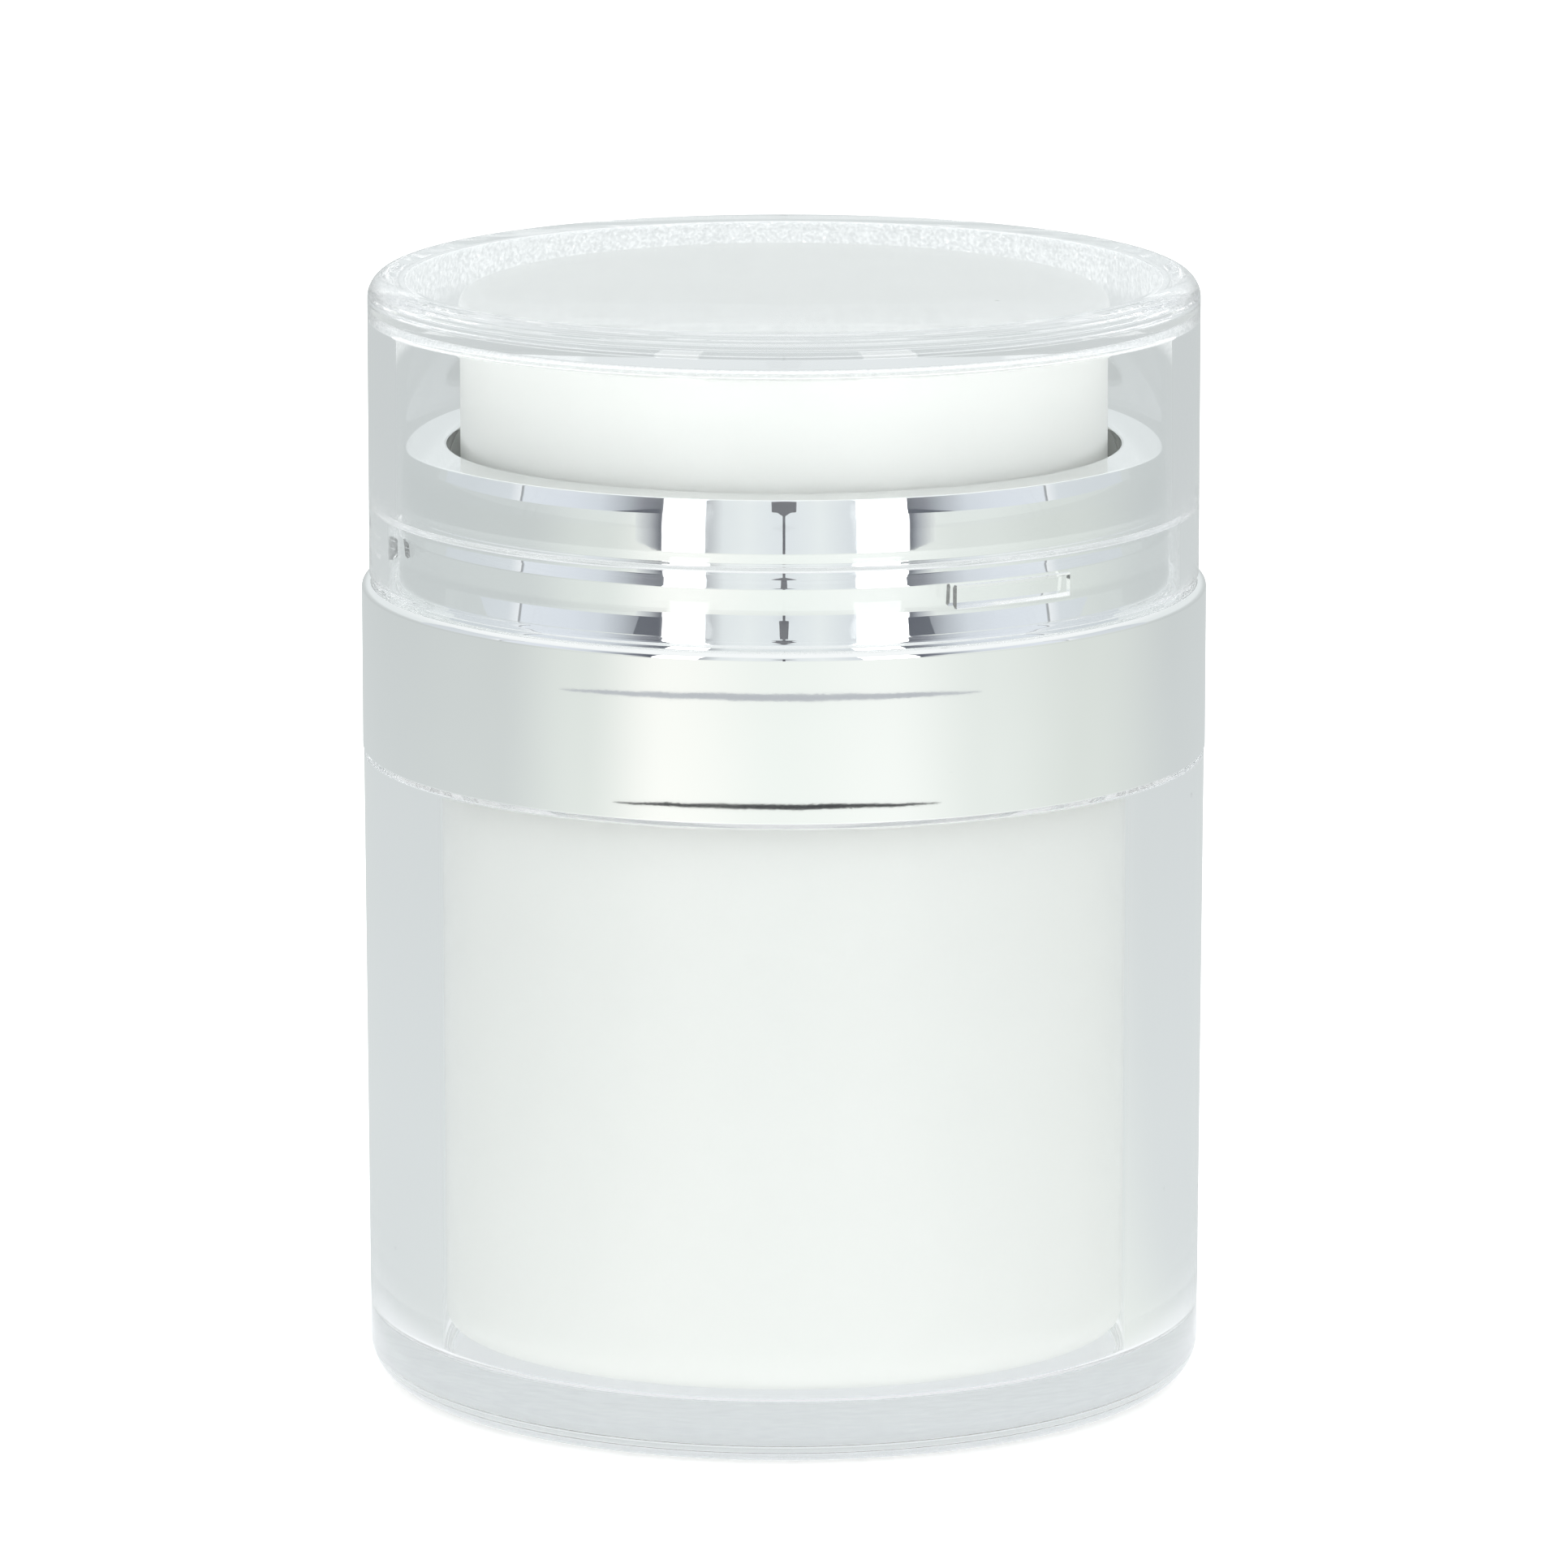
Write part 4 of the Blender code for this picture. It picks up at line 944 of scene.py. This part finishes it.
def clear_cap(materials, copies):
    """Clear cap with a thick flat top and snap lugs inside its mouth."""
    ceiling = CAP_UPPER_BORE - DRAFT
    points = outline(
        [
            (0.0, CAP_TOP),
            *rim_with_lines(),
            (CAP_RADIUS, CAP_BOTTOM, CAP_MOUTH_EDGE),
            (CAP_MOUTH_BORE, CAP_BOTTOM, CAP_MOUTH_EDGE),
            (CAP_MOUTH_BORE, CAP_STEP_MIDDLE - CAP_STEP / 2, CAP_STEP_EDGE),
            (CAP_UPPER_BORE, CAP_STEP_MIDDLE + CAP_STEP / 2, CAP_STEP_EDGE),
            (bore_at(FROST_LOW), FROST_LOW),
            (ceiling, CAP_CEILING, CAP_CAVITY_EDGE),
            (0.0, CAP_CEILING),
        ],
        closed=False,
    )
    item = turned("clear_cap", points, closed=False)
    corners = [
        (CAP_MOUTH_BORE + WELD, LUG_HIGH),
        (CAP_MOUTH_BORE + WELD, LUG_LOW),
        (LUG_TIP + LUG_EDGE, LUG_LOW),
        (LUG_TIP, LUG_LOW + LUG_EDGE),
        (LUG_TIP, LUG_HIGH - LUG_EDGE),
        (LUG_TIP + LUG_EDGE, LUG_HIGH),
    ]
    lug = curved_block("snap_lugs", corners, LUG_SPAN_DEGREES, LUG_STEPS)
    apply_tree(lug, copies, {"Count": LUG_COUNT, "First Angle": radians(LUG_FIRST_DEGREES)})
    joined(item, lug)
    placed(item, materials, "cap", "clear_acrylic", "over_cap")
    # The frosted band at the top of the bore carries a painted white glow.
    item.data.materials.append(materials["frosted_glowing_acrylic"])
    for face in item.data.polygons:
        reach = hypot(face.center.x, face.center.y) / MM
        on_bore = ceiling - CAP_CAVITY_EDGE < reach < CAP_UPPER_BORE
        if on_bore and FROST_LOW < face.center.z / MM < CAP_CEILING - SUPPORT:
            face.material_index = 1


def coil(materials):
    """Return spring, a coil between the ends of the imported spring."""
    item = linked("coil", bpy.data.meshes.new("coil"))
    values = {
        "Radius": SPRING_RADIUS * MM,
        "Wire Radius": SPRING_WIRE * MM,
        "Low": spring_low.z + SPRING_WIRE * MM,
        "High": spring_high.z - SPRING_WIRE * MM,
        "Turns": SPRING_TURNS,
        "Closed Share": SPRING_CLOSED_SHARE,
        "Closed Rise": SPRING_CLOSED_RISE * MM,
        "Steps": SPRING_STEPS,
        "Wire Steps": SPRING_WIRE_STEPS,
    }
    apply_tree(item, coil_spring_tree(values), values)
    placed(item, materials, "pump_unit", "spring_steel", "return_spring")
    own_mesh(item)


def dress_nodes(materials):
    """Gives the small inner nodes that stay as they are their finishes."""
    finishes = {
        "follower_piston": "natural_plastic",
        "neck_gasket": "soft_seal",
        "pump_gasket": "soft_seal",
        "pump_housing": "natural_plastic",
        "lock_ring": "natural_plastic",
        "inlet_valve": "soft_seal",
        "pump_stem": "white_plastic",
        "stem_foot": "natural_plastic",
        "plunger_seal": "soft_seal",
        "outlet_valve": "soft_seal",
    }
    for node, finish in finishes.items():
        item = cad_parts[node]
        item.data.materials.clear()
        item.data.materials.append(materials[finish])


# Studio, with lengths in metres and angles in degrees
DEGREES = 180 / pi
WHITE = (1.0, 1.0, 1.0)
BOUNCES = 96
DIFFUSE_BOUNCES = 6

# Light that matt surfaces gather from the room
SOFT_LIGHT = (1.40, 1.415, 1.385)

# Floor: its paint for the camera, then the glow that glass and metal see of it by the distance from the
# object: a painted shadow beneath, a painted pool of pale light close by, and a slow fall of brightness
# beyond
FLOOR_HALF = 6.0
FLOOR_DROP = 0.00005
FLOOR_LIFT = 0.35
FLOOR_PAINT = (0.92, 0.92, 0.92)
FLOOR_ROUGHNESS = 0.9
SHADE_FULL = 0.022
SHADE_END = 0.034
SHADE_SHARE = 0.78
NEAR_FLOOR_PAINTED_LIGHT = (0.92, 0.94, 0.96)
NEAR_FULL = 0.034
NEAR_END = 0.044
FALL_START = 0.1
FALL_END = 0.45
FALL_HIGH = 1.10
FALL_LOW = 0.94

# World: the room's walls above the horizon and its ceiling, by the height of a direction
WALL_START = 0.02
WALL_END = 0.22
WALL_GLOW = (0.82, 0.86, 0.87)
CEILING_START = 0.3
CEILING_END = 0.8
CEILING_GLOW = (0.99, 1.01, 1.02)

# Room brightness by the angle from the camera's side, in degrees to the right
ROOM_GLOW = [
    (-130.0, (0.63, 0.665, 0.668)),
    (-80.0, (0.65, 0.685, 0.68)),
    (-54.0, (0.78, 0.82, 0.79)),
    (-30.0, (1.02, 1.03, 0.99)),
    (0.0, (0.93, 0.97, 0.935)),
    (26.0, (0.97, 1.0, 0.97)),
    (54.0, (0.83, 0.87, 0.84)),
    (86.0, (0.74, 0.78, 0.75)),
    (130.0, (0.63, 0.665, 0.668)),
]

# Cards in front, with the camera as a dark patch and a dark slit under it between them
CARD_RADIUS = 0.40
CARD_FOOT = 0.034
CARD_TOP = 0.30
CARD_FIRST = -42.0
CARD_LAST = 43.0
CARD_STEPS = 48
CAMERA_HEIGHT = 0.142
CAMERA_SHARE = 3.6
CAMERA_REACH = 0.03
SLIT_SHARE = 0.36
SLIT_TOP = 0.19
SLIT_DARK = (0.10, 0.10, 0.12)

# Raised cards at both sides, with a dark wedge under their inner ends
SIDE_RADIUS = 0.396
SIDE_FIRST = 35.0
SIDE_LAST = 112.0
SIDE_FOOT_FRONT = 0.108
SIDE_FOOT_BACK = 0.066
SIDE_WEDGE = 0.016
SIDE_WEDGE_SPAN = 14.0
WEDGE_DARK = (0.07, 0.08, 0.11)

# Lines across the floor that the bright collar mirrors: radius, width, first and last angle, and
# strength
LINE_CENTRE = 0.008
LINE_LIFT = 0.0004
LINE_COLOR = (0.9, 0.94, 1.0)
BAND_TAPER = 0.6
FLOOR_LINES = {
    "near_floor_line": (0.259, 0.0024, -46.0, 42.0, 0.06),
    "far_floor_line": (0.3128, 0.0036, -62.0, 54.0, 0.57),
}

# Brightness of the cards in front of the object by the angle from the camera, in degrees. Matt
# surfaces gather more from them, as from lamps that stand above the cards.
STRIP_LIGHT = (4.0, 4.0, 4.0)
CARD_SOFT_SHARE = 0.1
CARD_GLOW = [
    (-42.0, (0.80, 0.83, 0.82)),
    (-38.0, (0.48, 0.50, 0.53)),
    (-34.4, (0.08, 0.09, 0.12)),
    (-33.8, STRIP_LIGHT),
    (-22.6, STRIP_LIGHT),
    (-21.9, (0.45, 0.47, 0.50)),
    (-17.0, (0.80, 0.84, 0.86)),
    (-10.0, (0.86, 0.90, 0.91)),
    (-2.5, (0.80, 0.84, 0.87)),
    (2.5, (0.80, 0.84, 0.87)),
    (10.0, (0.86, 0.90, 0.91)),
    (20.2, (0.72, 0.76, 0.80)),
    (20.9, STRIP_LIGHT),
    (34.8, STRIP_LIGHT),
    (35.4, (0.08, 0.09, 0.12)),
    (38.0, (0.40, 0.42, 0.46)),
    (43.0, (0.84, 0.87, 0.85)),
]

# Brightness of a side card by the angle from the camera, in degrees
SIDE_GLOW = [
    (35.0, (0.12, 0.13, 0.16)),
    (40.0, (0.20, 0.21, 0.25)),
    (46.0, (0.46, 0.49, 0.54)),
    (53.0, (0.68, 0.72, 0.78)),
    (62.0, (0.75, 0.79, 0.86)),
    (79.0, (0.79, 0.83, 0.89)),
    (79.3, (0.30, 0.31, 0.33)),
    (79.8, (0.30, 0.31, 0.33)),
    (80.1, (0.92, 0.94, 0.97)),
    (84.0, (0.72, 0.76, 0.80)),
    (112.0, (0.66, 0.70, 0.74)),
]


def studio_surface(name, verts, faces, *materials):
    """An open surface of the studio."""
    mesh = bpy.data.meshes.new(name)
    mesh.from_pydata(verts, [], faces)
    for material in materials:
        mesh.materials.append(material)
    return linked(name, mesh)


def stage_only(item):
    """Leaves a studio surface only to light the object and to show in its reflections."""
    item.visible_camera = False
    item.visible_shadow = False


def soft_share(made, seen):
    """Gives matt surfaces the soft light of the room's lamps, and shows the rest as it is."""
    return made.mixed(made.gathered(), seen, opaque(SOFT_LIGHT))


def bare_material(name):
    """A material without a shader yet, for a surface that only glows."""
    material, made, nodes = new_material(name)
    nodes.remove(nodes["Principled BSDF"])
    return material, made


def glow_material(name, color, strength):
    material, made = bare_material(name)
    made.shine(opaque(color), strength)
    return material


def floor_material(glow_group):
    """White under the object with its shadow; as bright as the room where glass or metal shows it."""
    material, made, nodes = new_material("studio_floor")
    shader = nodes["Principled BSDF"]
    paint = {"Base Color": opaque(FLOOR_PAINT), "Roughness": FLOOR_ROUGHNESS, "Specular IOR Level": 0.0}
    made.fill(shader, paint)
    lift = made.add("ShaderNodeEmission", {"Strength": FLOOR_LIFT})
    shown = made.add("ShaderNodeAddShader", {0: shader.outputs[0], 1: lift.outputs[0]})
    place = made.place()
    room = made.add("ShaderNodeGroup", {"Direction": place}, node_tree=glow_group)
    parts = made.split(place)
    radius = made.reach(parts[0], parts[1])
    # Painted shadow beneath the object and a painted pool of light round it, in the glow that glass and
    # metal see.
    shade = made.ranged(radius, SHADE_FULL, SHADE_END, SHADE_SHARE, smooth=True)
    fall = made.ranged(radius, FALL_START, FALL_END, FALL_HIGH, FALL_LOW)
    near = made.ranged(radius, NEAR_FULL, NEAR_END, 1.0, 0.0, smooth=True)
    around = made.mixed(near, room.outputs["Color"], opaque(NEAR_FLOOR_PAINTED_LIGHT))
    glow = {"Color": soft_share(made, around), "Strength": made.times(shade, fall)}
    seen = made.add("ShaderNodeEmission", glow)
    camera = made.add("ShaderNodeLightPath").outputs["Is Camera Ray"]
    mixed = made.add("ShaderNodeMixShader", {0: camera, 1: seen.outputs[0], 2: shown.outputs[0]})
    made.feed(nodes["Material Output"].inputs["Surface"], mixed.outputs[0])
    return material


def studio_floor(glow_group):
    h = FLOOR_HALF
    corners = [(x, y, -FLOOR_DROP) for x, y in ((-h, -h), (h, -h), (h, h), (-h, h))]
    floor = studio_surface("studio_floor", corners, [(0, 1, 2, 3)], floor_material(glow_group))


def card_ramp(made, angle, glow):
    """The colours of a card's table by its angle in degrees."""
    first, last = glow[0][0], glow[-1][0]
    return made.ramp(made.ranged(angle, first, last), glow, first, last).outputs[0]


def card_material():
    """Strip lamps, grey panels and dark edges by the angle, with a slit and the camera between."""
    material, made = bare_material("front_cards")
    parts = made.split(made.place())
    angle = made.times(made.angle(parts[0], parts[1]), DEGREES)
    panels = card_ramp(made, angle, CARD_GLOW)
    off_height = made.math("ABSOLUTE", made.minus(parts[2], CAMERA_HEIGHT))
    narrowing = made.minus(1.0, made.over(off_height, CAMERA_REACH), clamp=True)
    slit = made.times(made.math("LESS_THAN", parts[2], SLIT_TOP), SLIT_SHARE)
    half = made.math("MAXIMUM", made.times(narrowing, CAMERA_SHARE), slit)
    dark = made.math("LESS_THAN", made.math("ABSOLUTE", angle), half)
    shown = made.mixed(dark, panels, opaque(SLIT_DARK))
    soft = made.times(made.gathered(), CARD_SOFT_SHARE)
    made.shine(shown, made.plus(1.0, soft))
    return material


def front_place(radius, degrees):
    """A place on the floor at a radius and an angle from the camera's side."""
    return radius * sin(radians(degrees)), -radius * cos(radians(degrees))


def strip_faces(steps, rows):
    """Faces of a strip of steps, each with the same number of points across it."""
    faces = []
    for i in range(steps):
        for k in range(rows * i, rows * i + rows - 1):
            faces.append((k, k + rows, k + rows + 1, k + 1))
    return faces


def front_cards():
    """An upright curved wall of cards in front of the object."""
    verts = []
    for degrees in evenly(CARD_FIRST, CARD_LAST, CARD_STEPS):
        x, y = front_place(CARD_RADIUS, degrees)
        verts += [(x, y, CARD_FOOT), (x, y, CARD_TOP)]
    stage_only(studio_surface("front_cards", verts, strip_faces(CARD_STEPS, 2), card_material()))


def floor_band(name, radius, width, first, last, strength):
    """A thin curved band on the floor that tapers to its ends, and that the bright collar mirrors."""
    verts = []
    for i, degrees in enumerate(evenly(first, last, CARD_STEPS)):
        half = width * sin(pi * i / CARD_STEPS) ** BAND_TAPER / 2
        for r in (radius - half, radius + half):
            x, y = front_place(r, degrees)
            verts.append((x, y - LINE_CENTRE, LINE_LIFT))
    glow = glow_material(name, LINE_COLOR, strength)
    item = studio_surface(name, verts, strip_faces(CARD_STEPS, 2), glow)
    item.visible_diffuse = False
    stage_only(item)


def side_foot(degrees):
    """Height of a side card's foot, which sinks away from the front."""
    share = (degrees - SIDE_FIRST) / (SIDE_LAST - SIDE_FIRST)
    return SIDE_FOOT_FRONT + (SIDE_FOOT_BACK - SIDE_FOOT_FRONT) * share


def side_card(name, side):
    """A raised curved card beside the front ones, with a dark wedge under its inner end."""
    verts = []
    for degrees in evenly(SIDE_FIRST, SIDE_LAST, CARD_STEPS):
        x, y = front_place(SIDE_RADIUS, degrees)
        foot = side_foot(degrees)
        wedge = SIDE_WEDGE * max(0.0, 1 - (degrees - SIDE_FIRST) / SIDE_WEDGE_SPAN)
        verts += [(side * x, y, z) for z in (foot, foot + wedge, CARD_TOP)]
    dark = glow_material(name + "_wedge", WEDGE_DARK, 1.0)
    faces = strip_faces(CARD_STEPS, 3)
    item = studio_surface(name, verts, faces, side_material(name), dark)
    wedge_steps = CARD_STEPS * SIDE_WEDGE_SPAN / (SIDE_LAST - SIDE_FIRST)
    for face in item.data.polygons:
        step, upper = divmod(face.index, 2)
        face.material_index = int(not upper and step < wedge_steps)
    stage_only(item)


def side_material(name):
    """Bluish grey card that darkens towards the front, with a thin dark join across it."""
    material, made = bare_material(name)
    parts = made.split(made.place())
    turn = made.angle(made.math("ABSOLUTE", parts[0]), parts[1])
    made.shine(card_ramp(made, made.times(turn, DEGREES), SIDE_GLOW), 1.0)
    return material


def studio_world(glow_group):
    """White behind the object for the camera, the room's glow for everything else."""
    world = bpy.data.worlds.new("studio")
    world.use_nodes = True
    bpy.context.scene.world = world
    made = Tree(world.node_tree)
    direction = made.add("ShaderNodeTexCoord").outputs["Generated"]
    room = made.add("ShaderNodeGroup", {"Direction": direction}, node_tree=glow_group)
    height = made.split(direction)[2]
    above = made.ranged(height, WALL_START, WALL_END, smooth=True)
    ceiling = made.ranged(height, CEILING_START, CEILING_END, smooth=True)
    wall = made.mixed(above, room.outputs["Color"], opaque(WALL_GLOW))
    lit = made.mixed(ceiling, wall, opaque(CEILING_GLOW))
    camera = made.add("ShaderNodeLightPath").outputs["Is Camera Ray"]
    seen = made.mixed(camera, soft_share(made, lit), opaque(WHITE))
    made.feed(world.node_tree.nodes["Background"].inputs["Color"], seen)


def photo_camera():
    camera = bpy.data.cameras.new("photo_camera")
    camera.lens = CAMERA_LENS
    item = linked("photo_camera", camera)
    item.location = CAMERA_PLACE
    item.rotation_euler = (radians(CAMERA_PITCH), 0.0, 0.0)
    bpy.context.scene.camera = item


def light_paths():
    """Enough bounces for light to find its way through thick clear walls."""
    cycles = bpy.context.scene.cycles
    cycles.max_bounces = BOUNCES
    cycles.diffuse_bounces = DIFFUSE_BOUNCES
    cycles.glossy_bounces = BOUNCES
    cycles.transmission_bounces = BOUNCES


def main():
    moulded = moulded_surface_group()
    materials = {name: new_finish(name, moulded) for name in FINISHES}
    add_frost_glow(materials["frosted_glowing_acrylic"])
    copies = ring_copies_tree()
    thread = screw_thread_tree()
    clear_jar(materials, thread)
    white_cup(materials)
    bright_collar(materials)
    screw_insert(materials, thread, copies)
    press_button(materials, copies)
    clear_cap(materials, copies)
    coil(materials)
    dress_nodes(materials)
    glow = room_glow_group()
    studio_world(glow)
    studio_floor(glow)
    front_cards()
    side_card("left_card", -1)
    side_card("right_card", 1)
    for name, line in FLOOR_LINES.items():
        floor_band(name, *line)
    photo_camera()
    light_paths()
    bpy.context.scene.view_settings.view_transform = "Standard"


main()
